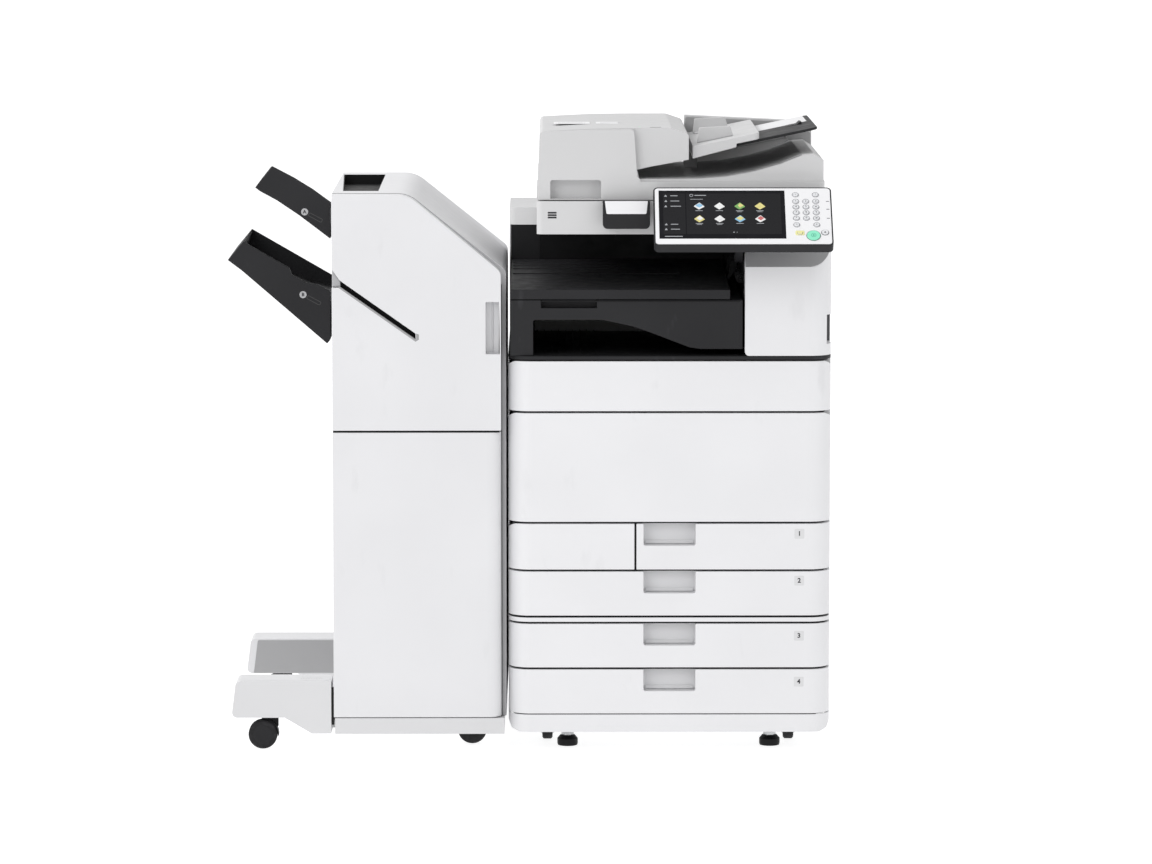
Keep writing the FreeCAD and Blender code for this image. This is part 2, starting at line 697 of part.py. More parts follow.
def make_feeder_cover():
    """The cover over the feed rollers, hinged at its left end."""
    cover = new_piece("feeder_cover")
    front = "feeder_front + plate + 0.5"
    left_part = [("feeder_left + 2", "1120"), ("-66", "1120"), ("-69", "feeder_top"),
                 ("-150", "feeder_top - 1"), ("feeder_left + 4", "feeder_top - 6")]
    add(cover, "y", front, "feeder_back", left_part)
    right_part = [("-72", "1120"), ("-62", "1120"), ("36", "1138"), ("36", "1187"), ("3", "feeder_top"),
                  ("-72", "feeder_top")]
    add(cover, "y", "feeder_front + 16", "feeder_back", right_part)
    cavity = [("feeder_left + 5", "1110"), ("-66", "1110"), ("33", "1130"), ("33", "1185"),
              ("2", "feeder_top - 3"), ("-150", "feeder_top - 4"), ("feeder_left + 7", "feeder_top - 9")]
    cut(cover, "y", "feeder_front + 19", "feeder_back - 3", cavity)
    cut(cover, "x", "32", "37", rectangle("100", "470", "1160", "1176"))
    round_corners(cover, "y", "8", [("3", "feeder_top"), ("feeder_left + 4", "feeder_top - 6"),
                                    ("36", "1187")])


def tray_height(across):
    """The document tray's top surface at a place across the machine."""
    return "tray_level + ((%s) - tray_left) * tray_slope" % across


def make_document_tray():
    """The sloping input tray, its pull-out extension and two side guides."""
    tray = new_piece("document_tray")
    outline = [("tray_left", "tray_level - 24"), ("128", tray_height("128") + " - 19.6"),
               ("128", tray_height("128") + " - 13"), ("tray_end", tray_height("tray_end") + " - 13"),
               ("tray_end", tray_height("tray_end")), ("tray_left", "tray_level")]
    add(tray, "y", "tray_front", "tray_back", outline)
    slot = [("62", tray_height("62") + " - 19.4"), ("130", tray_height("130") + " - 19.4"),
            ("130", tray_height("130") + " - 13"), ("62", tray_height("62") + " - 13")]
    cut(tray, "y", "tray_front + 12", "tray_back - 12", slot)
    round_corners(tray, "z", "12", [("tray_end", "tray_front"), ("tray_end", "tray_back")])

    extension = new_piece("tray_extension")
    plate = [("108", tray_height("108") + " - 18.7"), ("284", tray_height("284") + " - 18.7"),
             ("284", tray_height("284") + " - 13.6"), ("108", tray_height("108") + " - 13.6")]
    add(extension, "y", "tray_front + 15", "tray_back - 15", plate)
    round_corners(extension, "z", "14", [("284", "tray_front + 15"), ("284", "tray_back - 15")])

    for label, deep in (("guide_front", "123"), ("guide_rear", "429")):
        guide = new_piece(label)
        wall = [("tray_left + 10", tray_height("tray_left + 10") + " + 0.4"),
                ("124", tray_height("124") + " + 0.4"), ("118", "feeder_top"),
                ("tray_left + 14", "feeder_top - 4")]
        add(guide, "y", deep, deep + " + 8", wall)


def make_lift_handle():
    """The grip that hangs in front of the reader and lifts the feeder."""
    handle = new_piece("lift_handle")
    profile = [("44", "reader_top + 0.4"), ("44", "feeder_bottom"), ("-2", "feeder_bottom"),
               ("-24", "1038"), ("-24", "1010"), ("-20", "1010"), ("-20", "1034"), ("-6", "1053"),
               ("9", "1053"), ("9", "reader_top + 0.4")]
    add(handle, "x", "-129", "-39", profile)
    for left in ("-129", "-43"):
        cheek = [("-24", "1010"), ("4", "1010"), ("4", "1056"), ("-24", "1038")]
        add(handle, "x", left, left + " + 4", cheek)
    round_corners(handle, "y", "9", [("-129", "1010"), ("-39", "1010")])


# ---------------------------------------------------------------- control panel

def new_panel_piece(label):
    """A body drawn with X across, Y up the panel's face and Z out of it, then tilted."""
    piece = new_piece(label, "panel_left", "-panel_reach", "panel_foot")
    piece.Placement.Rotation = FreeCAD.Rotation(FreeCAD.Vector(1, 0, 0), 1)
    bind(piece, "Placement.Rotation.Angle", "panel_tilt")
    return piece


def key_centres():
    """Centres of the round keys: a grid of twelve, two above it, two below it and reset."""
    centres = []
    for row in range(4):
        for column in range(3):
            across = "panel_width - key_left + key_pitch * %d" % column
            up = "key_top - key_rise * %d" % row
            centres.append((across, up))
    for up in ("key_top + 17.7", "key_top - 62.5"):
        centres.append(("panel_width - key_left", up))
        centres.append(("panel_width - key_left + 2 * key_pitch", up))
    centres.append(("panel_width - 63", "32"))
    return centres


START_CENTRE = ("panel_width - 37.5", "25")
STOP_CENTRE = ("panel_width - 15.5", "33")


def make_panel():
    """Dark housing, white face with windows, touch screen, keys and the arm behind them."""
    housing = new_panel_piece("panel_housing")
    add(housing, "z", "-panel_thick", "0", rectangle("0", "panel_width", "0", "panel_length"))
    round_corners(housing, "z", "9", [("0", "0"), ("panel_width", "0"), ("panel_width", "panel_length"),
                                      ("0", "panel_length")])
    hollow(housing, "2.5", "z", ["0"])
    for left in ("119.5 - panel_left", "139.5 - panel_left"):
        ear = rectangle("panel_axis_up - 9", "panel_axis_up + 9", "-panel_axis_deep - 8", "-panel_thick + 1")
        add(housing, "x", left, left + " + 5", ear)
    add_round(housing, "x", "120 - panel_left", "144 - panel_left", [("panel_axis_up", "-panel_axis_deep")],
              "axle")

    face = new_panel_piece("panel_face")
    right = "panel_width - panel_rim"
    top = "panel_length - panel_rim"
    add(face, "z", "-panel_face + 0.1", "0", rectangle("panel_rim", right, "panel_rim", top))
    round_corners(face, "z", "6.5", [("panel_rim", "panel_rim"), (right, "panel_rim"), (right, top),
                                     ("panel_rim", top)])
    window = rectangle("10", "panel_width - 89", "17", "panel_length - 8.5")
    cut(face, "z", "-panel_face", "1", window)
    cut_round(face, "z", "-panel_face", "1", key_centres(), "key_radius + key_gap")
    cut_round(face, "z", "-panel_face", "1", [START_CENTRE], "start_radius + key_gap")
    cut_round(face, "z", "-panel_face", "1", [STOP_CENTRE], "stop_radius + key_gap")

    screen = new_panel_piece("touch_screen")
    add(screen, "z", "-panel_face - 5", "0",
        rectangle("10.2", "panel_width - 89.2", "17.2", "panel_length - 8.7"))

    for label, centres, radius in (("numeric_keys", key_centres(), "key_radius"),
                                   ("start_key", [START_CENTRE], "start_radius"),
                                   ("stop_key", [STOP_CENTRE], "stop_radius")):
        keys = new_panel_piece(label)
        add_round(keys, "z", "-panel_face - 2", "1.6", centres, radius)

    arm = new_piece("panel_arm")
    deep = "-panel_reach + panel_axis_up * cos(panel_tilt) + panel_axis_deep * sin(panel_tilt)"
    up = "panel_foot + panel_axis_up * sin(panel_tilt) - panel_axis_deep * cos(panel_tilt)"
    link = [(deep + " - 4", up + " - 8"), ("42", "941"), ("85", "941"), ("85", "966"),
            ("40", "968"), (deep + " + 4", up + " + 8")]
    add(arm, "x", "125.2", "138.8", link)
    add_round(arm, "x", "125.2", "138.8", [(deep, up)], "9")
    cut_round(arm, "x", "124", "140", [(deep, up)], "axle + running_gap")
    add(arm, "x", "138", "bay_right - 0.1", rectangle("62", "84", "942", "965"))


# ---------------------------------------------------------------- finisher

def add_outline(piece, start, end, inset, bottom, right, top):
    """The finisher seen from the front: flat top, then a slope down to the right, both rounded."""
    left = "finisher_left + %s" % inset
    peak = ("slope_left - %s / 2" % inset, "%s - %s" % (top, inset))
    foot = ("%s - %s" % (right, inset), "slope_foot - %s * 1.3" % inset)
    outline = [(left, "%s + %s" % (bottom, inset)), (foot[0], "%s + %s" % (bottom, inset)), foot, peak,
               (left, peak[1])]
    add(piece, "y", start, end, outline)
    round_corners(piece, "y", "top_round", [peak])
    round_corners(piece, "y", "foot_round", [foot])


def make_finisher_shell():
    """Top, side and back covers in one shell, with a recess on top and slots for paper."""
    shell = new_piece("finisher_shell")
    add_outline(shell, "cover_depth + 2", "main_depth", "0", "base_top", "finisher_right", "finisher_top")
    hollow(shell, "skin", "y", ["cover_depth + 2"])
    cup = [("-630", "82"), ("-557", "82"), ("-557", "563"), ("finisher_left + 1", "563")]
    add(shell, "z", "finisher_top - 23", "finisher_top - 1", cup)
    recess = [("-627", "85"), ("-560", "85"), ("-560", "560"), ("finisher_left + 4", "560")]
    cut(shell, "z", "finisher_top - 20", "finisher_top + 1", recess)
    cut(shell, "x", "finisher_right - 6", "finisher_right + 1", rectangle("100", "480", "845", "867"))
    for level in ("1040", "893"):
        cut(shell, "x", "finisher_left - 1", "finisher_left + 4",
            rectangle("stack_front + 12", "stack_back - 12", level, level + " + 15"))
    add(shell, "z", "shelf", "shelf + skin",
        rectangle("finisher_left + 2", "finisher_right - 2", "62", "main_depth - 2"))


def make_finisher_fronts():
    """A fixed lower cover, and the hinged upper door with a grip and a stapling slot."""
    lower = new_piece("finisher_lower_cover")
    add(lower, "z", "base_top + 2", "cover_seam - 2",
        rectangle("finisher_left", "front_right", "0", "cover_depth"))
    round_corners(lower, "z", "finisher_corner", [("front_right", "0")])
    hollow(lower, "skin", "y", ["cover_depth"])

    door = new_piece("finisher_door")
    add_outline(door, "0", "cover_depth", "0", "cover_seam + 2", "front_right", "finisher_top - 1.5")
    hollow(door, "skin", "y", ["cover_depth"])
    add(door, "y", "2", "23", rectangle("-356", "front_right - 1", "765", "871"))
    cut(door, "y", "-1", "20", rectangle("-352.7", "front_right - 4", "768", "868"))
    slot = [("-636", "900"), ("-487", "795"), ("-487", "807.5"), ("-636", "912.5")]
    cut(door, "y", "-1", "cover_depth + 1", slot)
    funnel = [("finisher_left - 1", "896"), ("-630", "896"), ("-630", "907"), ("finisher_left - 1", "933")]
    cut(door, "y", "-1", "cover_depth + 1", funnel)


def make_stapler():
    """The stapling head on its rail, behind the door."""
    stapler = new_piece("stapler_unit")
    profile = [("60", "shelf + 3.4"), ("150", "shelf + 3.4"), ("150", "shelf + 70"),
               ("110", "shelf + 84"), ("66", "shelf + 84"), ("60", "shelf + 70")]
    add(stapler, "x", "-590", "-530", profile)
    cut(stapler, "x", "-591", "-529", rectangle("55", "120", "shelf + 40", "shelf + 52"))


def make_finisher_base():
    """A steel pan on rollers, with two legs that reach out under the trays."""
    base = new_piece("finisher_base")
    plan = rectangle("finisher_left + 2", "finisher_right - 4", "3", "main_depth - 3")
    add(base, "z", "base_bottom", "base_top", plan)
    hollow(base, "skin", "z", ["base_bottom"])
    outline = [("leg_left", "leg_bottom"), ("-742", "leg_bottom"), ("-690", "32"), ("leg_right", "32"),
               ("leg_right", "leg_top"), ("leg_left + 9", "leg_top")]
    web = rectangle("leg_right - 1", "-640", "42", "base_top - 2")
    for front in ("2", "main_depth - leg_depth - 4"):
        add(base, "y", front, front + " + leg_depth", outline)
        add(base, "y", front + " + 10", front + " + leg_depth - 10", web)
    round_corners(base, "y", "10", [("leg_left", "leg_bottom"), ("leg_left + 9", "leg_top")])
    for deep in ("front_caster_y", "rear_caster_y"):
        cut_round(base, "z", "leg_bottom - 1", "leg_bottom + 18", [("swivel_x", deep)],
                  "6 + running_gap")
    for deep in ("roller_front_y", "roller_front_y + roller_pitch"):
        for near, far in (("-13", "-11"), ("11", "13")):
            cheek = rectangle("roller_x - 9", "roller_x + 9", "caster_radius - 8", "base_top - 1")
            add(base, "y", "%s + (%s)" % (deep, near), "%s + (%s)" % (deep, far), cheek)
        add_round(base, "y", "%s - 12" % deep, "%s + 12" % deep, [("roller_x", "caster_radius")], "axle")


def wheel_profile(inner, outer):
    """Half of a wheel's section: a bore, two side faces and a tread with bevelled edges."""
    bore = "axle + running_gap"
    return [(inner, bore), (outer, bore), (outer, "caster_radius - 3"), (outer + " - 2.5", "caster_radius"),
            (inner + " + 2.5", "caster_radius"), (inner, "caster_radius - 3")]


def make_finisher_wheels():
    """Two fixed rollers in line under the right side, and two twin-wheel casters under the legs."""
    rollers = new_piece("finisher_rollers", "roller_x", "roller_front_y", "caster_radius")
    wheel, sketch = turn(rollers, "y", wheel_profile("-9", "9"))
    repeat(rollers, wheel, sketch, "H_Axis", "roller_pitch")
    for name, deep in (("front", "front_caster_y"), ("rear", "rear_caster_y")):
        fork = new_piece("caster_fork_" + name, "swivel_x", deep)
        top = rectangle("-22", "10", "plate_bottom", "leg_bottom - 1.5")
        add(fork, "y", "-10", "10", top)
        web = [("-trail - 7", "caster_radius - 6"), ("-trail + 5", "caster_radius - 7"),
               ("10", "44"), ("10", "plate_bottom + 1"), ("-trail", "plate_bottom + 1"),
               ("-trail - 7", "caster_radius + 6")]
        add(fork, "y", "-2.5", "2.5", web)
        add_round(fork, "y", "-twin_half + 1", "twin_half - 1", [("-trail", "caster_radius")], "axle")
        add_round(fork, "z", "plate_bottom + 1", "leg_bottom + 16", [("0", "0")], "6")
        wheels = new_piece("caster_wheel_" + name, "swivel_x - trail", deep, "caster_radius")
        wheel, sketch = turn(wheels, "y", wheel_profile("-twin_half", "-3"))
        repeat(wheels, wheel, sketch, "H_Axis", "twin_half + 3")


def make_stack_trays():
    """The two output trays: a sloping stacking surface between side walls, open at the right."""
    upper = new_piece("tray_a")
    profile = [("-653", "982"), ("-653", "1022"), ("-701", "1057"), ("-743", "1082"), ("-782", "1101"),
               ("-797", "1081"), ("-788", "1074"), ("-755", "1056"), ("-712", "1027")]
    add(upper, "y", "stack_front", "stack_back", profile)
    space = [("-640", "1002"), ("-701", "1044"), ("-743", "1069"), ("-779", "1086"), ("-779", "1120"),
             ("-640", "1120")]
    cut(upper, "y", "stack_front + 8", "stack_back - 8", space)
    wall = [("-653", "985"), ("-653", "1052"), ("-685", "1077"), ("-722", "1100"), ("-764", "1122"),
            ("-795", "1082"), ("-755", "1058"), ("-712", "1029")]
    add(upper, "y", "stack_front", "stack_front + 8", wall)

    lower = new_piece("tray_b")
    profile = [("-653.5", "787"), ("-653", "880"), ("-821", "977"), ("-tray_reach", "941"),
               ("-827", "923"), ("-822", "919"), ("-660", "779")]
    add(lower, "y", "stack_front", "stack_back", profile)
    space = [("-640", "858"), ("-700", "872"), ("-760", "898"), ("-829", "941"), ("-815", "990"),
             ("-640", "990")]
    cut(lower, "y", "stack_front + 8", "stack_back - 8", space)
    notch = [("-640", "888"), ("-700", "897"), ("-727", "913"), ("-738", "940"), ("-640", "940")]
    cut(lower, "y", "stack_front - 1", "stack_front + 9", notch)


# ---------------------------------------------------------------- build and write

def write_parts():
    """Refuse anything that failed to compute, then write one file for each sub-part."""
    doc.recompute()
    for item in doc.Objects:
        if "Invalid" in item.State or "Error" in item.State:
            raise ValueError("%s did not compute: %s" % (item.Label, item.State))
    os.makedirs("parts", exist_ok=True)
    for piece in nodes:
        if piece.Shape.isNull() or not piece.Shape.isValid():
            raise ValueError("%s has no valid shape" % piece.Label)
        piece.Shape.exportStep(os.path.join("parts", piece.Label + ".step"))


make_main_frame()
make_main_wheels("front_casters", "wheel_front_y")
make_main_wheels("rear_casters", "wheel_back_y")
make_adjuster_feet()
make_pedestal_cover()
make_side_and_back()
make_power_inlet()
make_output_bay()
make_right_column_cover()
make_relay_unit()
make_front_covers()
for drawer in range(1, 5):
    make_drawer(drawer)
make_right_door()
make_toner_bottles()
make_engine_units()
make_reader()
make_feeder_body()
make_feeder_cover()
make_document_tray()
make_lift_handle()
make_panel()
make_finisher_shell()
make_finisher_fronts()
make_stapler()
make_finisher_base()
make_finisher_wheels()
make_stack_trays()
write_parts()
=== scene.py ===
import math

import bmesh
import bpy
from mathutils import Matrix, Vector


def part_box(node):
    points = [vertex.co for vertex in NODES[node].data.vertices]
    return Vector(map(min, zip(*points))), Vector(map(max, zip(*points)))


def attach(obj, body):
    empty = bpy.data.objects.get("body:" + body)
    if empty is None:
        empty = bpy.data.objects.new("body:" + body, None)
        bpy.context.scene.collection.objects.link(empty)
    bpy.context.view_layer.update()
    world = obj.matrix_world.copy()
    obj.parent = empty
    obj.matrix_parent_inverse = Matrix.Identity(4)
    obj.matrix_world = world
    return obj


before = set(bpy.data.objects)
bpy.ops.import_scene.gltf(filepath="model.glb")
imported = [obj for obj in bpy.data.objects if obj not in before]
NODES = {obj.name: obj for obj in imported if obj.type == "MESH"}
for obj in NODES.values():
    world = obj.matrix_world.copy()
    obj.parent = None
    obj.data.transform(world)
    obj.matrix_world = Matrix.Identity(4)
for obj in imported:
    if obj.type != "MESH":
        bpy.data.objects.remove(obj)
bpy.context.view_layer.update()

# -------- the frame, and places in it

MM = 0.001

# Places are in millimetres from the main unit: X from its middle, Y back from its front, Z up.
cover_low, cover_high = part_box("front_cover")
ORIGIN = Vector(((cover_low.x + cover_high.x) / 2, cover_low.y, 0))
MACHINE = Matrix.Translation(ORIGIN) @ Matrix.Scale(MM, 4)


def node_box(name):
    """A CAD node's lowest and highest corners in the machine's millimetres."""
    return [MACHINE.inverted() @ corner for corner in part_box(name)]


# The control panel's own directions: X across, Y up its face, Z out of it.
PANEL_TILT = math.radians(41)
PANEL_WIDTH = 339
PANEL_LENGTH = 154
PANEL_FOOT = 987
panel_low = MACHINE.inverted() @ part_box("panel_housing")[0]
PANEL = (MACHINE @ Matrix.Translation((panel_low.x, panel_low.y, PANEL_FOOT))
         @ Matrix.Rotation(PANEL_TILT, 4, "X"))


# -------- materials

def new_material(name):
    material = bpy.data.materials.new(name)
    material.use_nodes = True
    return material, material.node_tree.nodes["Principled BSDF"]


def set_inputs(node, settings):
    for label, setting in settings.items():
        node.inputs[label].default_value = setting


def add_node(beside, kind, settings):
    """A shader node in the same material as another node or socket, with some inputs set."""
    node = beside.id_data.nodes.new("ShaderNode" + kind)
    set_inputs(node, settings)
    return node


def join(source, target):
    target.id_data.links.new(source, target)


def noise(shader, scale, detail, stretch=(1, 1, 1)):
    """Noise fixed to the object; scale is in waves per metre."""
    place = add_node(shader, "TexCoord", {})
    mapping = add_node(shader, "Mapping", {"Scale": stretch})
    texture = add_node(shader, "TexNoise", {"Scale": scale, "Detail": detail})
    join(place.outputs["Object"], mapping.inputs["Vector"])
    join(mapping.outputs["Vector"], texture.inputs["Vector"])
    return texture.outputs["Fac"]


def remap(source, low, high, start=0.35, end=0.65):
    """Stretch a value from start..end to low..high."""
    node = add_node(source, "MapRange", {"From Min": start, "From Max": end, "To Min": low, "To Max": high})
    join(source, node.inputs["Value"])
    return node.outputs["Result"]


def patches(shader, scale, detail, low, high, *limits):
    """Noise stretched to low..high."""
    return remap(noise(shader, scale, detail), low, high, *limits)


def mix(factor, first, second):
    """A colour that runs from the first to the second; each is a plain colour or a socket."""
    node = add_node(factor, "Mix", {})
    node.data_type = "RGBA"
    join(factor, node.inputs[0])
    for slot, colour in ((6, first), (7, second)):
        if isinstance(colour, tuple):
            node.inputs[slot].default_value = (*colour, 1)
        else:
            join(colour, node.inputs[slot])
    return node.outputs[2]


def bump(shader, height, strength, depth):
    node = add_node(shader, "Bump", {"Strength": strength, "Distance": depth})
    join(height, node.inputs["Height"])
    join(node.outputs["Normal"], shader.inputs["Normal"])


def shade(colour, factor):
    return tuple(channel * factor for channel in colour)


def moulded(name, colour, roughness=0.45, grain=0.35, variation=0.965, scuffs=0.93, shine=0.45):
    """Injection-moulded plastic: spark-eroded grain, faint clouding and a few soft rub marks."""
    material, shader = new_material(name)
    body = mix(patches(shader, 5, 4, 0, 1), shade(colour, variation), colour)
    marks = remap(noise(shader, 26, 6, (1, 1, 0.35)), 0, 1, 0.66, 0.78)
    speckle = patches(shader, 900, 1, 0, 0.35, 0.3, 0.75)
    flecked = mix(speckle, body, shade(colour, variation))
    worn = mix(marks, flecked, shade(colour, scuffs))
    join(worn, shader.inputs["Base Color"])
    set_inputs(shader, {"Specular IOR Level": shine})
    gloss = patches(shader, 40, 5, roughness - 0.06, roughness + 0.06)
    join(gloss, shader.inputs["Roughness"])
    bump(shader, noise(shader, 1300, 2), grain, 0.00006)
    return material


def dark(name, colour):
    """Black and charcoal mouldings, with little gloss and pale rub marks."""
    return moulded(name, colour, 0.5, 0.5, 0.8, 1.9, 0.2)


def rubber(name, colour):
    """Tyre and pad rubber: dull, with dust in its texture."""
    material, shader = new_material(name)
    dust = patches(shader, 90, 6, 0, 0.5, 0.45, 0.7)
    join(mix(dust, colour, shade(colour, 2.6)), shader.inputs["Base Color"])
    set_inputs(shader, {"Roughness": 0.72, "Specular IOR Level": 0.25})
    bump(shader, noise(shader, 700, 4), 0.6, 0.0002)
    return material


def brushed_metal(name, colour):
    """Sheet steel with a rolled direction and faint handling marks."""
    material, shader = new_material(name)
    set_inputs(shader, {"Metallic": 1.0})
    rolled = noise(shader, 60, 5, (1, 1, 18))
    join(mix(remap(rolled, 0, 1), shade(colour, 0.82), colour), shader.inputs["Base Color"])
    join(patches(shader, 25, 4, 0.24, 0.46), shader.inputs["Roughness"])
    bump(shader, rolled, 0.25, 0.00005)
    return material


def gloss_glass(name, colour):
    """The touch screen's black cover glass, with faint wipe marks."""
    material, shader = new_material(name)
    smears = remap(noise(shader, 18, 5, (1, 3, 1)), 0, 1, 0.5, 0.75)
    join(mix(smears, colour, shade(colour, 1.7)), shader.inputs["Base Color"])
    join(patches(shader, 30, 4, 0.06, 0.13), shader.inputs["Roughness"])
    set_inputs(shader, {"Specular IOR Level": 0.12})
    return material


def clear_glass(name, colour):
    """Platen glass, with a faint tint."""
    material, shader = new_material(name)
    tinted = mix(patches(shader, 6, 3, 0, 1), (0.82, 0.92, 0.88), colour)
    join(tinted, shader.inputs["Base Color"])
    join(patches(shader, 30, 4, 0.02, 0.06), shader.inputs["Roughness"])
    set_inputs(shader, {"Transmission Weight": 0.85, "IOR": 1.5})
    return material


def lit(name, colour, strength):
    """A backlit mark: a screen icon or an indicator, a little uneven like a real backlight."""
    material, shader = new_material(name)
    glow = mix(patches(shader, 160, 3, 0, 1), shade(colour, 0.86), colour)
    join(glow, shader.inputs["Base Color"])
    join(glow, shader.inputs["Emission Color"])
    set_inputs(shader, {"Emission Strength": strength, "Roughness": 0.3})
    return material


def sheets_of_paper(name):
    """The side of a stack of paper: one faint line for every few sheets."""
    material, shader = new_material(name)
    layers = remap(noise(shader, 12, 2, (1, 1, 160)), 0, 1)
    fibres = patches(shader, 600, 4, 0, 0.5)
    edge = mix(layers, (0.70, 0.69, 0.66), (0.86, 0.86, 0.84))
    join(mix(fibres, edge, (0.88, 0.88, 0.87)), shader.inputs["Base Color"])
    set_inputs(shader, {"Roughness": 0.85})
    bump(shader, layers, 0.5, 0.0001)
    return material


# The finish of each of the part's material slots: how it is made, its colour and its settings.
FINISHES = {name: build(name, *settings) for name, (build, *settings) in {
    "white_cover": (moulded, (0.757, 0.757, 0.772)),
    "grey_cover": (moulded, (0.60, 0.60, 0.605)),
    "finisher_cover": (moulded, (0.725, 0.725, 0.74)),
    "tile_grey": (moulded, (0.66, 0.66, 0.67)),
    "cassette_grey": (moulded, (0.40, 0.41, 0.42), 0.5),
    "dark_plastic": (dark, (0.021, 0.021, 0.023)),
    "black_plastic": (dark, (0.007, 0.007, 0.008)),
    "steel": (brushed_metal, (0.56, 0.57, 0.58)),
    "rubber": (rubber, (0.014, 0.014, 0.015)),
    "platen_glass": (clear_glass, (0.88, 0.95, 0.92)),
    "panel_white": (moulded, (0.83, 0.83, 0.845), 0.36, 0.2, 0.985),
    "screen_glass": (gloss_glass, (0.006, 0.006, 0.008)),
    "key_grey": (moulded, (0.74, 0.75, 0.77), 0.4, 0.2),
    "key_green": (moulded, (0.27, 0.80, 0.56), 0.3, 0.2),
    "toner_1": (moulded, (0.75, 0.60, 0.05)),
    "toner_2": (moulded, (0.55, 0.04, 0.24)),
    "toner_3": (moulded, (0.02, 0.28, 0.55)),
    "toner_4": (moulded, (0.03, 0.03, 0.035)),
}.items()}
PAPER = sheets_of_paper("paper")
INK = dark("ink", (0.03, 0.03, 0.034))
SEAM = dark("seam", (0.008, 0.008, 0.009))
PALE = moulded("pale_print", (0.50, 0.51, 0.53), 0.5, 0.1)
OUTLINE = moulded("outline_print", (0.20, 0.20, 0.22), 0.5, 0.1)
BAND_GREY = moulded("band_grey", (0.42, 0.42, 0.43), 0.5)
MID_GREY = moulded("mid_grey", (0.33, 0.33, 0.335), 0.5)
FEED_GREY = moulded("feed_grey", (0.36, 0.36, 0.365), 0.55, 0.35, 0.95, 1.1, 0.25)
SHADOW_GREY = moulded("shadow_grey", (0.085, 0.085, 0.09), 0.55, 0.35, 0.9, 1.3, 0.25)
LABEL = moulded("label", (0.86, 0.86, 0.87), 0.5, 0.1, 0.99)
CREAM = moulded("reset_cap", (0.80, 0.77, 0.36), 0.35, 0.1)
HANDLE_BLUE = moulded("handle_blue", (0.03, 0.20, 0.42), 0.4)
PAD_WHITE = moulded("platen_pad", (0.87, 0.87, 0.86), 0.8, 0.5)

# The angle that makes an edge, and the widths of softened edges in millimetres.
CREASE = math.radians(32)
PLAIN_EDGE = 1.1
SOFT_EDGES = {"steel": 0.4, "platen_glass": 0.4, "screen_glass": 0.2, "panel_white": 0.5,
              "key_grey": 0.5, "key_green": 0.8, "rubber": 0.8, "black_plastic": 0.7}
ROUNDER = {"pedestal_cover": 4, "finisher_door": 2.4, "finisher_shell": 1.6, "adf_body": 1.8,
           "feeder_cover": 2.2, "reader_housing": 1.4, "lift_handle": 1.6, "finisher_base": 2.4,
           "tray_a": 1.4, "tray_b": 1.4, "panel_housing": 0.8, "tray_extension": 1.6,
           "document_tray": 1.6}
REPAINTED = {"finisher_base": "tile_grey"}


def add_object(name, data):
    item = bpy.data.objects.new(name, data)
    bpy.context.scene.collection.objects.link(item)
    return item


def bevel(item, width, segments):
    """Round an object's edges slightly and smooth its shading."""
    edges = item.modifiers.new("edges", "BEVEL")
    edges.width = width * MM
    edges.segments = segments
    edges.limit_method = "ANGLE"
    edges.angle_limit = CREASE
    item.modifiers.new("normals", "WEIGHTED_NORMAL").keep_sharp = True
    return edges


def finish_cad_nodes():
    """Every CAD node keeps its shape, and gets its finish and softened edges."""
    for name, item in NODES.items():
        for holder in item.material_slots:
            slot = holder.material.name.split(".")[0]
            holder.material = FINISHES[REPAINTED.get(name, slot)]
            item.modifiers.new("weld", "WELD").merge_threshold = 0.01 * MM
            flatten = item.modifiers.new("flatten", "DECIMATE")
            flatten.decimate_type = "DISSOLVE"
            flatten.angle_limit = math.radians(0.4)
            edges = bevel(item, ROUNDER.get(name, SOFT_EDGES.get(slot, PLAIN_EDGE)), 3)
            edges.miter_outer = "MITER_ARC"


# -------- shapes

def arc(centre_u, centre_v, radius, start, end, steps=6):
    """Points of an arc, with its angles in degrees."""
    turns = [math.radians(start + (end - start) * i / steps) for i in range(steps + 1)]
    return [(centre_u + radius * math.cos(t), centre_v + radius * math.sin(t)) for t in turns]


def circle(u, v, radius, steps=32):
    return arc(u, v, radius, 0, 360, steps)[:-1]


def rounded(u0, u1, v0, v1, radius):
    """A rectangle with round corners."""
    left, right, low, high = u0 + radius, u1 - radius, v0 + radius, v1 - radius
    return (arc(right, high, radius, 0, 90, 5) + arc(left, high, radius, 90, 180, 5)
            + arc(left, low, radius, 180, 270, 5) + arc(right, low, radius, 270, 360, 5))


def soft_outline(corners, steps=5):
    """A polygon with round corners; each corner is (u, v, radius)."""
    points = []
    for i, (u, v, radius) in enumerate(corners):
        here = Vector((u, v))
        if not radius:
            points.append((u, v))
            continue
        back = (Vector(corners[i - 1][:2]) - here).normalized()
        ahead = (Vector(corners[(i + 1) % len(corners)][:2]) - here).normalized()
        half = back.angle(ahead) / 2
        reach = radius / math.tan(half)
        centre = here + (back + ahead).normalized() * (radius / math.sin(half))
        first, last = here + back * reach - centre, here + ahead * reach - centre
        for k in range(steps + 1):
            points.append(tuple(centre + first.lerp(last, k / steps).normalized() * radius))
    return points


def on_axis(axis, along, u, v):
    """A point from its place along an axis and its places in the other two directions."""
    return Vector({"x": (along, u, v), "y": (u, along, v), "z": (u, v, along)}[axis])


def facing_front(x, y, z):
    """Directions for a mark on a front face: X across, Y up, Z out of it."""
    return MACHINE @ Matrix.Translation((x, y, z)) @ Matrix.Rotation(math.pi / 2, 4, "X")


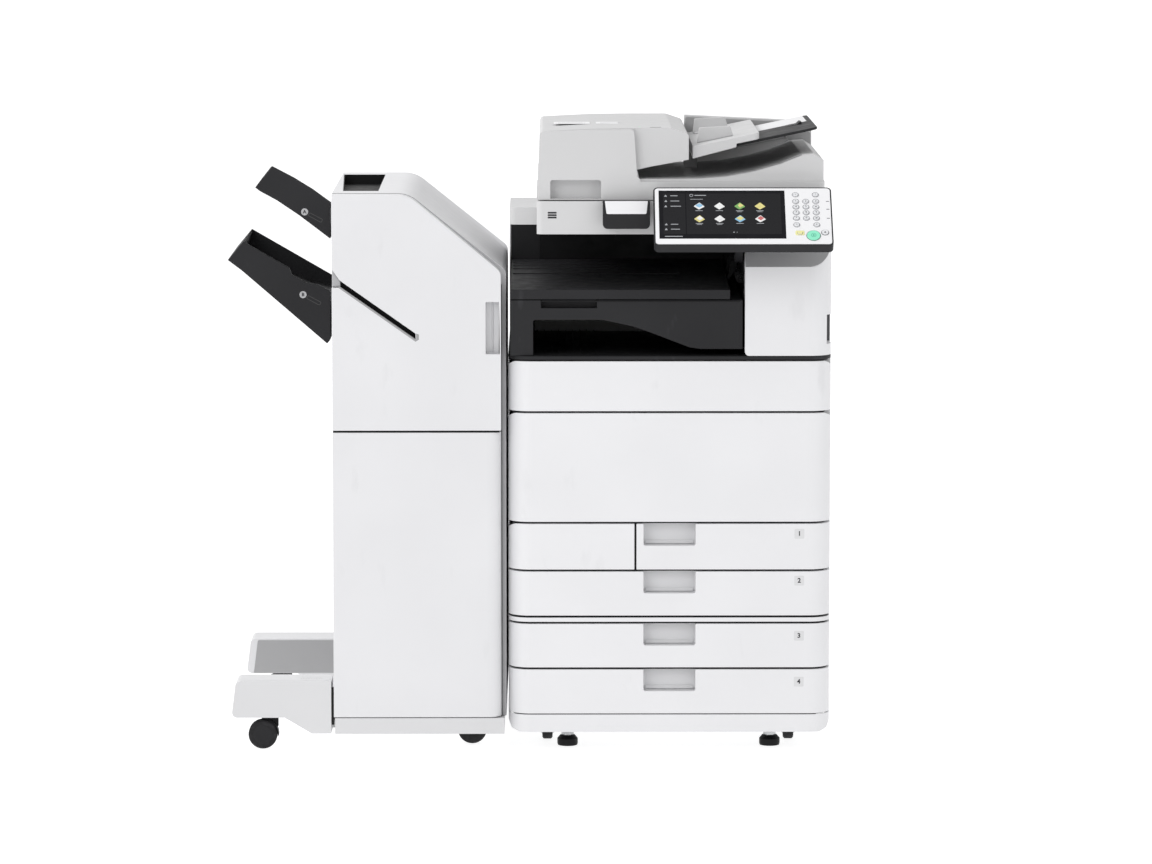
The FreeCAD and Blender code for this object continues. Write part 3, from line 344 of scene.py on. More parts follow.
class Shape:
    """Collects solids in millimetres and turns them into one piece."""

    def __init__(self, base=MACHINE):
        self.mesh = bmesh.new()
        self.base = base

    def loft(self, outlines, closed=False):
        """A skin through outlines that match; its ends are capped, or joined if it is closed."""
        rings = [[self.mesh.verts.new(self.base @ Vector(spot)) for spot in outline]
                 for outline in outlines]
        count = len(rings[0])
        following = rings[1:] + [rings[0]] if closed else rings[1:]
        for near, far in zip(rings, following):
            for i in range(count):
                j = (i + 1) % count
                self.mesh.faces.new((near[i], near[j], far[j], far[i]))
        if not closed:
            self.mesh.faces.new(rings[0])
            self.mesh.faces.new(rings[-1])
        return self

    def prism(self, axis, start, end, outline):
        """A prism along an axis, from an outline in the other two directions."""
        return self.loft([[on_axis(axis, level, u, v) for u, v in outline] for level in (start, end)])

    def block(self, x0, x1, y0, y1, z0, z1):
        return self.prism("z", z0, z1, [(x0, y0), (x1, y0), (x1, y1), (x0, y1)])

    def turned(self, axis, centre, profile, steps=28):
        """A ring or disc turned about an axis through a centre, from (along, radius) points."""
        return self.loft([[Vector(centre) + on_axis(axis, along, u, v)
                           for u, v in circle(0, 0, radius, steps)] for along, radius in profile])

    def band(self, axis, start, end, outer, inner):
        """A closed band between two outlines that have the same number of points."""
        corners = ((start, inner), (start, outer), (end, outer), (end, inner))
        return self.loft([[on_axis(axis, level, u, v) for u, v in outline]
                          for level, outline in corners], closed=True)

    def hoop(self, x, y, radius, width, bottom, top):
        """A flat ring that lies in the base's XY plane."""
        return self.band("z", bottom, top, circle(x, y, radius), circle(x, y, radius - width))

    def tube(self, path, radius, steps=10):
        """A round bar along a path."""
        path = [Vector(spot) for spot in path]
        rings = []
        for i, spot in enumerate(path):
            ahead = (path[min(i + 1, len(path) - 1)] - path[max(i - 1, 0)]).normalized()
            side = side - ahead * side.dot(ahead) if rings else ahead.orthogonal()
            side.normalize()
            up = ahead.cross(side)
            rings.append([spot + side * u + up * v for u, v in circle(0, 0, radius, steps)])
        return self.loft(rings)

    def text(self, words, x, y, level, size, depth=0.08, weight=0.0):
        """Raised lettering that lies in the base's XY plane, centred on a place."""
        curve = bpy.data.curves.new("words", "FONT")
        curve.body = words
        curve.size = size
        curve.extrude = depth / 2
        curve.offset = weight
        curve.align_x = curve.align_y = "CENTER"
        curve.resolution_u = 3
        holder = bpy.data.objects.new("words", curve)
        mesh = bpy.data.meshes.new_from_object(holder)
        mesh.transform(self.base @ Matrix.Translation((x, y, level)))
        self.mesh.from_mesh(mesh)
        bpy.data.objects.remove(holder)
        bpy.data.meshes.remove(mesh)
        return self

    def make(self, name, body, slot, look=None, edge=0.0):
        """Make a piece that rides on a CAD body, in its slot's finish or in a look of its own."""
        bmesh.ops.recalc_face_normals(self.mesh, faces=self.mesh.faces[:])
        mesh = bpy.data.meshes.new(name)
        self.mesh.to_mesh(mesh)
        self.mesh.free()
        for face in mesh.polygons:
            face.use_smooth = True
        mesh.materials.append(look or FINISHES[slot])
        item = add_object(name, mesh)
        if edge:
            bevel(item, edge, 2)
        else:
            mesh.set_sharp_from_angle(angle=CREASE)
        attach(item, body)


# -------- main unit

HALF_WIDTH = (cover_high.x - cover_low.x) / MM / 2
CORNER = 42
WRAP = 45
GAP = 0.3
PLINTH_TOP = 69
DRAWER_RAIL = (250, 258)


def front_plan(inset):
    """The front's plan with its rounded corners, inset from the covers' outside."""
    side, centre, back = HALF_WIDTH - inset, HALF_WIDTH - CORNER, WRAP - 2
    left_round = arc(-centre, CORNER, CORNER - inset, 180, 270)
    right_round = arc(centre, CORNER, CORNER - inset, 270, 360)
    return [(-side, back)] + left_round + right_round + [(side, back)]


def make_crossbars():
    """Dark frame rails that close the gaps between the stacked front covers."""
    stack = ("drawer_front_4", "drawer_front_3", "drawer_front_2", "drawer_front_1",
             "front_cover", "toner_cover", "output_bay")
    spans = [[corner.z for corner in node_box(name)] for name in stack]
    spans = [(0, PLINTH_TOP)] + spans[:2] + [DRAWER_RAIL] + spans[2:]
    for number, (below, above) in enumerate(zip(spans, spans[1:]), start=1):
        by_swinging_cover = number in (5, 6, 7)
        plan = front_plan(10 if by_swinging_cover else 5)
        bar = Shape().prism("z", below[1] + GAP, above[0] - GAP, plan)
        bar.make("crossbar_%d" % number, "root", "black_plastic", SEAM)
    low, high = node_box("waste_toner_cover")
    drawer_left = node_box("drawer_front_1")[0].x
    post = Shape().block(high.x + GAP, drawer_left - GAP, 5, WRAP - 4, low.z - 1, high.z + 1)
    post.make("drawer_1_post", "root", "black_plastic", SEAM)


def make_drawer_number(number):
    """A number tile on a drawer's front."""
    low, high = node_box("drawer_front_%d" % number)
    body = "drawer_%d" % number
    across, half = 249.5, 9.5
    middle = (low.z + high.z) / 2 + (19 if number > 2 else 25)
    tile = Shape().prism("y", -0.12, 0.5,
                         rounded(across - half, across + half, middle - half, middle + half, 2))
    tile.make(body + "_tile", body, "white_cover", FINISHES["tile_grey"])
    figure = Shape(facing_front(across, -0.2, middle)).text(str(number), 0, 0, 0, 12.5, 0.1, 0.35)
    figure.make(body + "_number", body, "black_plastic", INK)


def make_drawer_inside(number):
    """Paper, a lift plate and size guides in a cassette, and a rib in its front's grip."""
    low, high = node_box("cassette_%d" % number)
    body = "drawer_%d" % number
    wall = 2.6
    x0, x1, floor = low.x + wall, high.x - wall, low.z + wall
    plate = Shape().prism("z", floor + 0.5, floor + 2, rounded(x0 + 3, x1 - 40, 55, 420, 6))
    for deep in (120, 220, 320):
        plate.prism("z", floor + 2, floor + 2.8, rounded(x0 + 20, x1 - 60, deep, deep + 8, 3))
    plate.make(body + "_lift_plate", body, "steel", edge=0.3)
    across, along = (210, 297) if number == 1 else (297, 210)
    pile_foot, pile_height, pile_right = floor + 3, (high.z - floor) * 0.62, x1 - 42
    pile = Shape().block(pile_right - across, pile_right, 60, 60 + along,
                         pile_foot, pile_foot + pile_height)
    pile.make(body + "_paper", body, "white_cover", PAPER, 0.4)
    guides = Shape()
    for deep in (51, 63 + along):
        for left in (x0 + 60, x1 - 120):
            guides.block(left, left + 50, deep, deep + 3, floor + 0.5, high.z - 4)
    guides.block(x1 - 38, x1 - 35, 120, 200, floor + 0.5, high.z - 4)
    guides.make(body + "_guides", body, "cassette_grey", edge=0.5)
    pocket = node_box("drawer_front_%d" % number)[1].z - 41
    lip = Shape().prism("x", -46, 46, [(24, pocket), (27.6, pocket), (27.6, pocket + 7)])
    lip.make(body + "_grip_rib", body, "white_cover", edge=0.4)


def make_relay_details(floor):
    """Steps on the relay unit's cover, and the grey back of its arch."""
    low, high = node_box("relay_cover")
    depth = high.y - low.y
    steps = Shape()
    for share, reach in ((0.5, 330), (0.66, 215), (0.76, 215), (0.86, 215)):
        start = low.y + depth * share
        foot = low.z + 18.5 + 16 * share
        steps.prism("x", low.x + 4, low.x + reach, [(start, foot), (start + 8, foot),
                                                    (start + 8, foot + 2.6), (start + 1.5, foot + 2.6)])
    steps.make("relay_cover_steps", "relay_lid", "dark_plastic", edge=0.5)
    back = node_box("relay_unit")[1].y
    arch = Shape().prism("y", back - 9, back - 6,
                         [(-260, floor - 6), (30, floor - 6), (30, 779), (-27, 804), (-69, 819),
                          (-129, 832), (-260, 832)])
    arch.make("relay_arch_back", "root", "dark_plastic", FEED_GREY)


def make_bay_details():
    """Ribs, rollers and sheet guides in the dark output bay and on the relay unit."""
    floor = node_box("output_bay")[0].z + 7
    ribs = Shape()
    for number in range(9):
        left = -255 + 14 * number
        ribs.prism("x", left, left + 2, [(60, floor), (500, floor), (500, floor + 3), (90, floor + 3)])
    ribs.make("bay_floor_ribs", "root", "dark_plastic", edge=0.4)
    make_relay_details(floor)
    shaft_x, shaft_level = 139, 902
    rollers = Shape()
    for number in range(6):
        rollers.turned("y", (shaft_x, 120 + 66 * number, shaft_level),
                       [(0, 3), (0, 8), (1, 9), (21, 9), (22, 8), (22, 3)])
    rollers.turned("y", (shaft_x, 90, shaft_level), [(0, 2.5), (400, 2.5)])
    rollers.make("bay_exit_rollers", "root", "rubber")
    flags = Shape()
    for deep in (200, 330):
        flags.prism("y", deep, deep + 6, [(124, 930), (136, 930), (134, 915), (120, 894), (116, 896)])
    flags.make("bay_full_levers", "root", "black_plastic", edge=0.6)
    bead = Shape().prism("z", floor + 0.2, floor + 1.6, rounded(-296, 134, 8, 14, 2.5))
    bead.make("bay_front_bead", "root", "black_plastic", edge=0.4)
    low, high = node_box("relay_unit")
    bead = Shape().block(low.x + 60, high.x - 6, low.y - 1.2, low.y + 2, high.z - 3, high.z - 0.4)
    bead.make("relay_front_bead", "root", "black_plastic", edge=0.4)
    panel = Shape().prism("y", 514, 519.5, rounded(-250, 120, 785, 985, 12))
    panel.prism("y", 511, 515, rounded(-220, -60, 800, 850, 8))
    panel.make("bay_back_panel", "root", "black_plastic", edge=1.2)


def make_caster(end):
    """Hub caps and a hood for one of the finisher's casters."""
    low, high = node_box("caster_wheel_" + end)
    centre, half = (low + high) / 2, (high.y - low.y) / 2
    hub = Shape()
    for side in (-1, 1):
        hub.turned("y", centre, [(side * (half + out), radius) for out, radius in (
            (-0.1, 3.2), (-0.1, 19), (0.5, 18), (0.5, 14), (0.1, 13), (0.1, 3.2))])
    hub.make("caster_hub_" + end, end + "_caster_wheel", "dark_plastic")
    crown = arc(centre.x, centre.z, 30.8, -5, 68, 10) + arc(centre.x, centre.z, 29, 68, -5, 10)
    hood = Shape().prism("y", centre.y - half + 1, centre.y + half - 1, crown)
    hood.turned("z", (centre.x + 20, centre.y, 0), [(60.2, 12), (61, 14), (62.6, 14), (62.6, 9)])
    hood.make("caster_hood_" + end, end + "_swivel", "black_plastic", edge=0.5)


def make_feet_details():
    """Threads and lock nuts on the adjuster feet; hubs on the wheels."""
    low, high = node_box("adjuster_feet")
    pitch = 1.9
    for side, across in (("left", low.x + 20), ("right", high.x - 20)):
        foot = (across, (low.y + high.y) / 2, 0)
        nut = Shape()
        for turn in range(9):
            level = 22 + pitch * turn
            nut.turned("z", foot, [(level, 6.1), (level + pitch / 2, 7.4), (level + pitch, 6.1)], 20)
        nut.turned("z", foot, [(20.2, 6.2), (20.2, 12), (26, 12), (26, 6.2)], 6)
        nut.make("foot_nut_" + side, "root", "steel")
    for name, body in (("front_casters", "front_wheels"), ("rear_casters", "rear_wheels")):
        low, high = node_box(name)
        hubs = Shape()
        for across in (low.x + 10, high.x - 10):
            for side in (-1, 1):
                hubs.turned("x", (across, (low.y + high.y) / 2, (low.z + high.z) / 2),
                            [(side * 9.9, 4), (side * 9.9, 13), (side * 10.4, 12), (side * 10.4, 4)], 24)
        hubs.make(name + "_hubs", body, "black_plastic")
    make_caster("front")
    make_caster("rear")


# -------- control panel

KEYPAD = ("123", "456", "789", "*0#")
KEY_LEFT, KEY_TOP = PANEL_WIDTH - 68.5, 116
KEY_PITCH, KEY_RISE = 19, 15
LINE_FOOT, LINE_TOP = 0.02, 0.16
CAP_TOP = 1.62
PAPER_PICTURES = (("white", "blue"), ("white", "white"), ("green", "yellow"), ("yellow", "yellow"),
                  ("yellow", "white"), ("white", "white"), ("blue", "yellow"), ("white", "red"))
ICON_TINTS = {"white": (0.66, 0.66, 0.66), "blue": (0.22, 0.42, 0.60), "yellow": (0.58, 0.52, 0.20),
              "green": (0.16, 0.34, 0.10), "red": (0.45, 0.12, 0.12)}


def print_mark(shape, layer, outline):
    """A flat mark on the screen; a higher layer covers a lower one."""
    bottom = 0.02 + 0.04 * layer
    shape.prism("z", bottom, bottom + 0.03, outline)


def make_screen():
    """A generic menu: a side bar, a title line and eight pictures of paper with captions."""
    x0, x1, y0, y1 = 10.2, PANEL_WIDTH - 89.2, 17.2, PANEL_LENGTH - 8.7
    field = Shape(PANEL)
    for left, right in ((x0 + 52, x1 - 8), (x0 + 8, x0 + 50)):
        print_mark(field, 0, rounded(left, right, y0 + 12, y1 - 8, 1.5))
    field.make("screen_field", "panel", "screen_glass",
               moulded("screen_grey", (0.017, 0.017, 0.019), 0.3, 0.05, 0.9, 1.3, 0.1))
    captions = Shape(PANEL)
    for row, up in enumerate((y1 - 14, y1 - 28, y1 - 42, y0 + 38, y0 + 25)):
        print_mark(captions, 1, soft_outline([(x0 + 10, up - 2.5, 0.6), (x0 + 16, up - 2.5, 0.6),
                                              (x0 + 13 + row % 2, up + 3, 0.6)]))
        print_mark(captions, 1, rounded(x0 + 22, x0 + 36 + 3 * (row % 3), up - 0.9, up + 0.9, 0.6))
    for outline in (rounded(x0 + 10, x0 + 44, y0 + 5, y0 + 7, 0.6),
                    rounded(x0 + 68, x0 + 90, y1 - 14, y1 - 12, 0.6),
                    rounded(x0 + 60, x0 + 84, y1 - 24, y1 - 22.8, 0.4),
                    circle(x0 + 141, y0 + 17, 1.3, 24), circle(x0 + 147, y0 + 17, 0.8, 24)):
        print_mark(captions, 1, outline)
    captions.hoop(x0 + 62, y1 - 13, 3.6, 1.1, 0.06, 0.09)
    icons = {tint: Shape(PANEL) for tint in ICON_TINTS}
    for number, (under, over) in enumerate(PAPER_PICTURES):
        across, up = x0 + 76 + 38.5 * (number % 4), y1 - 42 - 34 * (number // 4)
        print_mark(icons[under], 1, soft_outline([(across - 10, up, 1), (across, up - 9, 1),
                                                  (across + 11, up - 1, 1), (across + 1, up + 10, 1)], 2))
        shift = 2 * (number % 3)
        print_mark(icons[over], 2, soft_outline([
            (across - 7 + shift, up + 2, 0.6), (across + 1, up - 4, 0.6),
            (across + 8, up + 2, 0.6), (across + 1, up + 8, 0.6)], 2))
        print_mark(captions, 1, rounded(across - 7, across + 7, up - 12.6, up - 11.2, 0.5))
        has_second_line = number in (2, 3, 4, 5)
        if has_second_line:
            print_mark(captions, 1, rounded(across - 5, across + 5, up - 15.4, up - 14.2, 0.4))
    captions.make("screen_captions", "panel", "panel_white", lit("screen_text", (0.34, 0.35, 0.37), 0.18))
    for tint, shape in icons.items():
        shape.make("screen_icons_" + tint, "panel", "panel_white",
                   lit("icon_" + tint, ICON_TINTS[tint], 0.3))


def make_keypad(outlines):
    """The rings round the number and function keys, and the keys' legends."""
    keys = [(KEY_LEFT + KEY_PITCH * column, KEY_TOP - KEY_RISE * row, figure, 6.4)
            for row, line in enumerate(KEYPAD) for column, figure in enumerate(line)]
    for up, pair in ((KEY_TOP + 17.7, "i?"), (KEY_TOP - 62.5, "=C")):
        keys += [(KEY_LEFT, up, pair[0], 5.5), (KEY_LEFT + 2 * KEY_PITCH, up, pair[1], 5.5)]
    legends = Shape(PANEL)
    for across, up, figure, size in keys:
        outlines.hoop(across, up, 6.6, 0.8, LINE_FOOT, LINE_TOP)
        legends.text(figure, across, up, CAP_TOP + 0.04, size)
    return legends


def make_keys():
    """Key outlines, legends and marks, and the reset key's pale cap and surround."""
    start_x, start_y, stop_x, stop_y = PANEL_WIDTH - 37.5, 25, PANEL_WIDTH - 15.5, 33
    reset_x, reset_y = PANEL_WIDTH - 63, 32
    outlines = Shape(PANEL)
    legends = make_keypad(outlines)
    outlines.hoop(stop_x, stop_y, 7.6, 0.9, LINE_FOOT, LINE_TOP)
    outlines.hoop(start_x, start_y, 13.9, 0.7, LINE_FOOT, LINE_TOP)
    outlines.make("key_outlines", "panel", "key_grey", OUTLINE)
    legends.make("key_legends", "numeric_key_mat", "black_plastic", INK)
    reset = Shape(PANEL).band(
        "z", LINE_FOOT, 0.5, rounded(reset_x - 8.5, reset_x + 8.5, reset_y - 6, reset_y + 6, 3),
        rounded(reset_x - 5.2, reset_x + 5.2, reset_y - 5.2, reset_y + 5.2, 5.1))
    reset.make("reset_surround", "panel", "key_grey", CREAM, 0.15)
    cap = Shape(PANEL).prism("z", CAP_TOP, 1.9, circle(reset_x, reset_y, 4.4, 24))
    cap.make("reset_key_cap", "numeric_key_mat", "key_grey", CREAM, 0.15)
    half = 2.4
    start = Shape(PANEL).hoop(start_x, start_y, 5, 0.9, CAP_TOP, CAP_TOP + 0.1)
    start.prism("z", CAP_TOP, CAP_TOP + 0.12, [(start_x, start_y + half), (start_x - half, start_y),
                                               (start_x, start_y - half), (start_x + half, start_y)])
    start.make("start_key_mark", "start_button", "key_green",
               moulded("start_mark", (0.10, 0.42, 0.30), 0.4, 0.1))
    stop = Shape(PANEL).prism("z", CAP_TOP, CAP_TOP + 0.12,
                              [(stop_x, stop_y + half), (stop_x - 0.9 * half, stop_y - 0.6 * half),
                               (stop_x + 0.9 * half, stop_y - 0.6 * half)])
    stop.make("stop_key_mark", "stop_button", "key_grey", INK)


def make_panel_edge():
    """Lamps beside the keys and on the panel's front edge, and the memory port in its side."""
    lamps = Shape(PANEL)
    for up in (KEY_TOP, KEY_TOP - 21, KEY_TOP - 45):
        lamps.prism("z", LINE_FOOT, 0.2,
                    rounded(PANEL_WIDTH - 11, PANEL_WIDTH - 5, up - 0.9, up + 0.9, 0.6))
    lamps.make("panel_lamps", "panel", "key_grey", OUTLINE)
    unlit, glowing = (0.12, 0.12, 0.12), (0.75, 0.78, 0.78)
    for number, inset, colour in ((1, 68.5, unlit), (2, 47, unlit), (3, 24, glowing)):
        across = PANEL_WIDTH - inset
        lamp = Shape(PANEL).prism("y", 0.02, 0.4, rounded(across - 1.6, across + 1.6, -9, -2, 1))
        lamp.make("panel_edge_lamp_%d" % number, "panel", "key_green",
                  lit("panel_light_%d" % number, colour, 0.5))
    port = Shape(PANEL).prism("x", PANEL_WIDTH - 0.5, PANEL_WIDTH - 0.05, rounded(96, 110, -14, -8, 1.5))
    port.make("memory_port", "panel", "black_plastic", SEAM)


# -------- reader and feeder

def make_reader_details():
    """Bars on the reader's front, the platen pad, the glass's scale strip and hinge barrels."""
    front = node_box("reader_housing")[0].y
    bars = Shape()
    for number in range(3):
        up = 1027.5 + 4.6 * number
        bars.prism("y", front - 0.25, front + 0.5, rounded(-234, -217, up, up + 3.2, 1))
    bars.make("reader_bars", "root", "black_plastic", INK)
    low, high = node_box("platen_glass")
    top = high.z
    pad = Shape().prism("z", top + 0.6, top + 1.9, rounded(-222, 222, low.y - 4, high.y + 4, 6))
    pad.make("platen_pad", "adf", "white_cover", PAD_WHITE)
    scale = Shape()
    for number in range(21):
        left, front = -210 + 21 * number, low.y - 10
        length = 8 if number % 5 == 0 else 5
        scale.block(left, left + 0.6, front, front + length, top + 0.02, top + 0.16)
    scale.make("platen_scale", "root", "black_plastic", INK)
    hinge_y = 566
    barrels = Shape().block(-200, -160, hinge_y - 12, hinge_y + 12, top + 0.05, top + 1)
    for left in (-189, 201):
        barrels.turned("x", (left, hinge_y, 1070.5), [(-1.4, 4), (-1.4, 6.4), (29.6, 6.4), (29.6, 4)], 24)
    barrels.make("lid_hinge_barrels", "root", "steel")


def make_feeder_top():
    """Labels, a lamp and a latch slot on the feeder's cover."""
    top = node_box("feeder_cover")[1].z
    labels = Shape()
    for left, right, sunk in ((-222, -152, 1.05), (-140, -78, 0.5)):
        labels.prism("z", top - sunk, top - 0.35, rounded(left, right, 200, 262, 4))
    labels.make("feeder_labels", "feeder_lid", "white_cover", LABEL)
    lines = Shape()
    for left, right in ((-214, -160), (-132, -86)):
        for row in range(4):
            deep, end = 212 + 11 * row, right - 6 * (row % 2)
            lines.prism("z", top - 0.4, top - 0.25, rounded(left, end, deep, deep + 2, 0.8))
    lines.make("feeder_label_lines", "feeder_lid", "key_grey", PALE)
    lamp = Shape().turned("z", (-57, 90, top), [(-0.4, 2.6), (-0.05, 2.6), (0.1, 2.45)], 20)
    lamp.make("feeder_lamp", "feeder_lid", "key_green", lit("lamp_green", (0.2, 0.7, 0.35), 0.5))
    latch = Shape().prism("z", top - 0.3, top + 0.15, rounded(-38, -16, 66, 74, 3.5))
    latch.make("feeder_latch", "feeder_lid", "black_plastic", INK)


def make_feeder_inside():
    """Rollers and steel cheeks in the feeder, and the grey surfaces where originals land."""
    rollers = Shape()
    for across, level, reach in ((0, 1150, 13), (-70, 1146, 11), (-150, 1144, 14)):
        rollers.turned("y", (across, 60, level), [(0, 3), (470, 3)], 16)
        for number in range(4):
            rollers.turned("y", (across, 150 + 74 * number, level),
                           [(0, 3), (0, reach - 1), (1, reach), (23, reach), (24, reach - 1), (24, 3)], 32)
    rollers.make("feed_rollers", "adf", "rubber")
    cheeks = Shape()
    for deep in (52, 530):
        cheeks.prism("y", deep, deep + 6, [(-235, 1117.2), (-64, 1117.2), (25, 1138), (22, 1165),
                                           (-40, 1172), (-180, 1168), (-235, 1150)])
    cheeks.make("feeder_cheeks", "adf", "steel", edge=0.5)
    curve = [(-56, 1101.3), (60, 1102.3), (110, 1106.3), (160, 1115.3), (210, 1129.3), (252, 1146.6)]
    liner = Shape().prism("y", 46, 504, curve + [(u, v + 0.9) for u, v in reversed(curve)])
    liner.make("output_surface", "adf", "dark_plastic", FEED_GREY)
    wall = [(42, 1112, 0), (243, 1150, 0), (243, 1183, 4), (42, 1193, 4)]
    panel = Shape().prism("y", 512.8, 513.9, soft_outline(wall))
    panel.make("feeder_rear_panel", "adf", "dark_plastic", FEED_GREY)
    end = [(247, 1148, 0), (292, 1140, 0), (292, 1163, 3), (247, 1163, 3)]
    panel = Shape().prism("y", 503.8, 504.9, soft_outline(end))
    panel.make("feeder_end_panel", "adf", "cassette_grey", MID_GREY)
    sleeves = Shape()
    for deep in (330, 440):
        sleeves.block(36.2, 60.8, deep - 0.8, deep - 0.1, 1103, 1135.4)
    sleeves.make("tray_post_covers", "adf", "dark_plastic", FEED_GREY)


def tray_level(across):
    """The height of the document tray's top surface at a place across."""
    return 1162.2 + (across - 44) * 0.209


def tray_strip(left, right, bottom, top):
    """The outline of a thin layer that follows the tray's slope, at heights over its surface."""
    return [(left, tray_level(left) + bottom), (right, tray_level(right) + bottom),
            (right, tray_level(right) + top), (left, tray_level(left) + top)]


def make_tray_details():
    """Size marks on the tray, the extension's end stop and inlay, and shelves on the guides."""
    marks = Shape()
    level = tray_level(100)
    for number in range(5):
        deep = 140 + 34 * number
        marks.block(96, 104, deep, deep + 1.2, level - 0.5, level + 0.95)
    marks.make("tray_marks", "document_tray_body", "key_grey", PALE)
    end, sunk = 262, 13.6
    level = tray_level(end) - sunk
    stop = Shape().prism("y", 250, 300, [(end - 30, level - 5.8), (end, level + 0.4), (end, level + 3.6),
                                         (end - 4, level + 3.9), (end - 9, level - 1.2)])
    stop.make("extension_stop", "extension", "dark_plastic", edge=1)
    inlay = Shape().prism("y", 300, 478, tray_strip(176, 274, 0.05 - sunk, 0.45 - sunk))
    inlay.make("extension_inlay", "extension", "panel_white")
    for name, body, inward in (("guide_front", "front_guide", 1), ("guide_rear", "rear_guide", -1)):
        low, high = node_box(name)
        middle = (low.y + high.y) / 2
        start, end = sorted((middle + inward * 3.9, middle + inward * 34))
        shelf = Shape().prism("y", start, end, tray_strip(58, 120, 0.5, 2.2))
        shelf.make(name + "_shelf", body, "grey_cover", edge=0.4)


def make_handle_details():
    """The pale sloping face of the hanging grip, and the bracket under it on the reader."""
    low, high = node_box("lift_handle")
    rise, depth = 24, 22
    length = math.hypot(rise, depth)
    slope = Matrix.Rotation(math.atan2(rise, depth), 4, "X")
    face = Shape(MACHINE @ Matrix.Translation((0, low.y, high.z - rise)) @ slope)
    face.prism("z", 0.1, 0.7, soft_outline([(low.x + 7, 0.5, 3), (high.x - 7, 0.5, 3),
                                            (high.x - 4, length - 1, 1), (low.x + 4, length - 1, 1)]))
    face.make("lift_handle_face", "adf", "panel_white")
    bracket = Shape()
    for left in (-116, -70):
        bracket.prism("y", 10.6, 12.4, rounded(left, left + 14, 999, 1009, 2))
    bracket.make("handle_bracket", "root", "grey_cover", edge=0.4)


def make_column_band():
    """Painted shade: a darker grey layer on the slanted band at the top of the right column, where the
    panel above shades it; and a dark sheet painted as shade in the side grip.
    """
    left = node_box("right_column_cover")[0].x + 1
    foot, top = Vector((0.3, 935.2)), Vector((23.8, 962.7))
    radius = CORNER - 0.6
    thickness = Vector((0, -0.25, 0.22))
    rings = []
    for step in range(9):
        deep, up = foot.lerp(top, step / 8)
        right = HALF_WIDTH - CORNER + math.sqrt(radius ** 2 - min(CORNER - deep, radius) ** 2)
        near = [Vector((across, deep, up)) for across in (left, right)]
        rings.append(near + [spot + thickness for spot in reversed(near)])
    # Painted shade: this grey layer stands in for the shade that the panel above casts on the slanted band.
    Shape().loft(rings).make("column_band", "root", "white_cover", BAND_GREY)
    # Painted shade: a dark grey sheet in the side grip's recess, standing in for the shade that falls
    # there.
    grip = Shape().prism("y", 70.6, 71.9, rounded(299.6, 309.4, 787, 841, 2))
    grip.make("side_grip_liner", "side_door", "dark_plastic", SHADOW_GREY)


# -------- finisher

def finisher_outline(inset):
    """The finisher's outline seen from the front, as the covers have it."""
    low, high = node_box("finisher_shell")
    return soft_outline([(low.x + inset, low.z + inset, 0), (high.x - inset, low.z + inset, 0),
                         (high.x - inset, 926 - 1.3 * inset, 20), (-501 - inset / 2, high.z - inset, 60),
                         (low.x + inset, high.z - inset, 0)])


def make_leg_details():
    """A grey plate of painted shade on the rear leg's front face, the front leg's ribbed top mat in a grey
    painted as shade, and the dark gap beside it.
    """
    top = node_box("finisher_base")[1].z
    # Painted shade: a grey plate on the rear leg's front face, standing in for the shade that falls there.
    plate = Shape().prism("y", 533.1, 533.9, soft_outline(
        [(-830.5, 63.8, 0), (-653, 63.8, 0), (-653, 131, 0), (-822, 131, 3)]))
    plate.make("rear_leg_painted_shade", "root", "cassette_grey", MID_GREY, 0.3)
    # Painted shade: the top mat is a darker grey for the shade on the front leg's top; its ribs are real.
    mat = Shape().prism("z", top - 0.1, top + 0.5, rounded(-822, -656, 10, 80, 8))
    for number in range(9):
        left = -712 + 5 * number
        mat.prism("z", top + 0.5, top + 1.2, rounded(left, left + 2.4, 30, 58, 1))
    mat.make("front_leg_top", "root", "grey_cover", FINISHES["tile_grey"], 0.3)
    gap = Shape().block(-651.7, -647.3, 3.2, 9.5, 49, 122)
    gap.make("leg_gap", "root", "black_plastic", SEAM)


def make_recess_liner():
    """The black cup under the finisher's open top, just inside the opening."""
    top = node_box("finisher_shell")[1].z
    floor = top - 19.9
    outer, inner = [[(-626.9 + inset, 85.1 + inset), (-560.1 - inset, 85.1 + inset),
                     (-560.1 - inset, 559.9 - inset), (-642.8 + 1.125 * inset, 559.9 - inset)]
                    for inset in (0, 0.8)]
    liner = Shape().prism("z", floor, floor + 0.7, outer)
    liner.band("z", floor + 0.7, top - 0.4, outer, inner)
    liner.make("finisher_recess_liner", "root", "black_plastic")


def make_staple_slot():
    """The slanted slot in the finisher's door: its dark back, its lip and its open end."""
    back = Shape().prism("y", 26, 28, [(-632, 875), (-484, 775), (-484, 830), (-632, 933)])
    back.make("staple_slot_back", "finisher_front_door", "black_plastic", SEAM)
    lip = Shape().prism("y", -0.2, 8, [(-633, 894.6), (-487, 791.8), (-480.5, 796), (-480.5, 806),
                                       (-486, 808), (-486, 796), (-633, 899)])
    lip.make("staple_slot_lip", "finisher_front_door", "cassette_grey", MID_GREY, 0.5)
    funnel = Shape().prism("y", 6, 26, [(-646.6, 896.4), (-630.4, 896.4), (-630.4, 906.8), (-646.6, 932.4)])
    funnel.make("staple_slot_funnel", "finisher_front_door", "finisher_cover", BAND_GREY, 1.5)


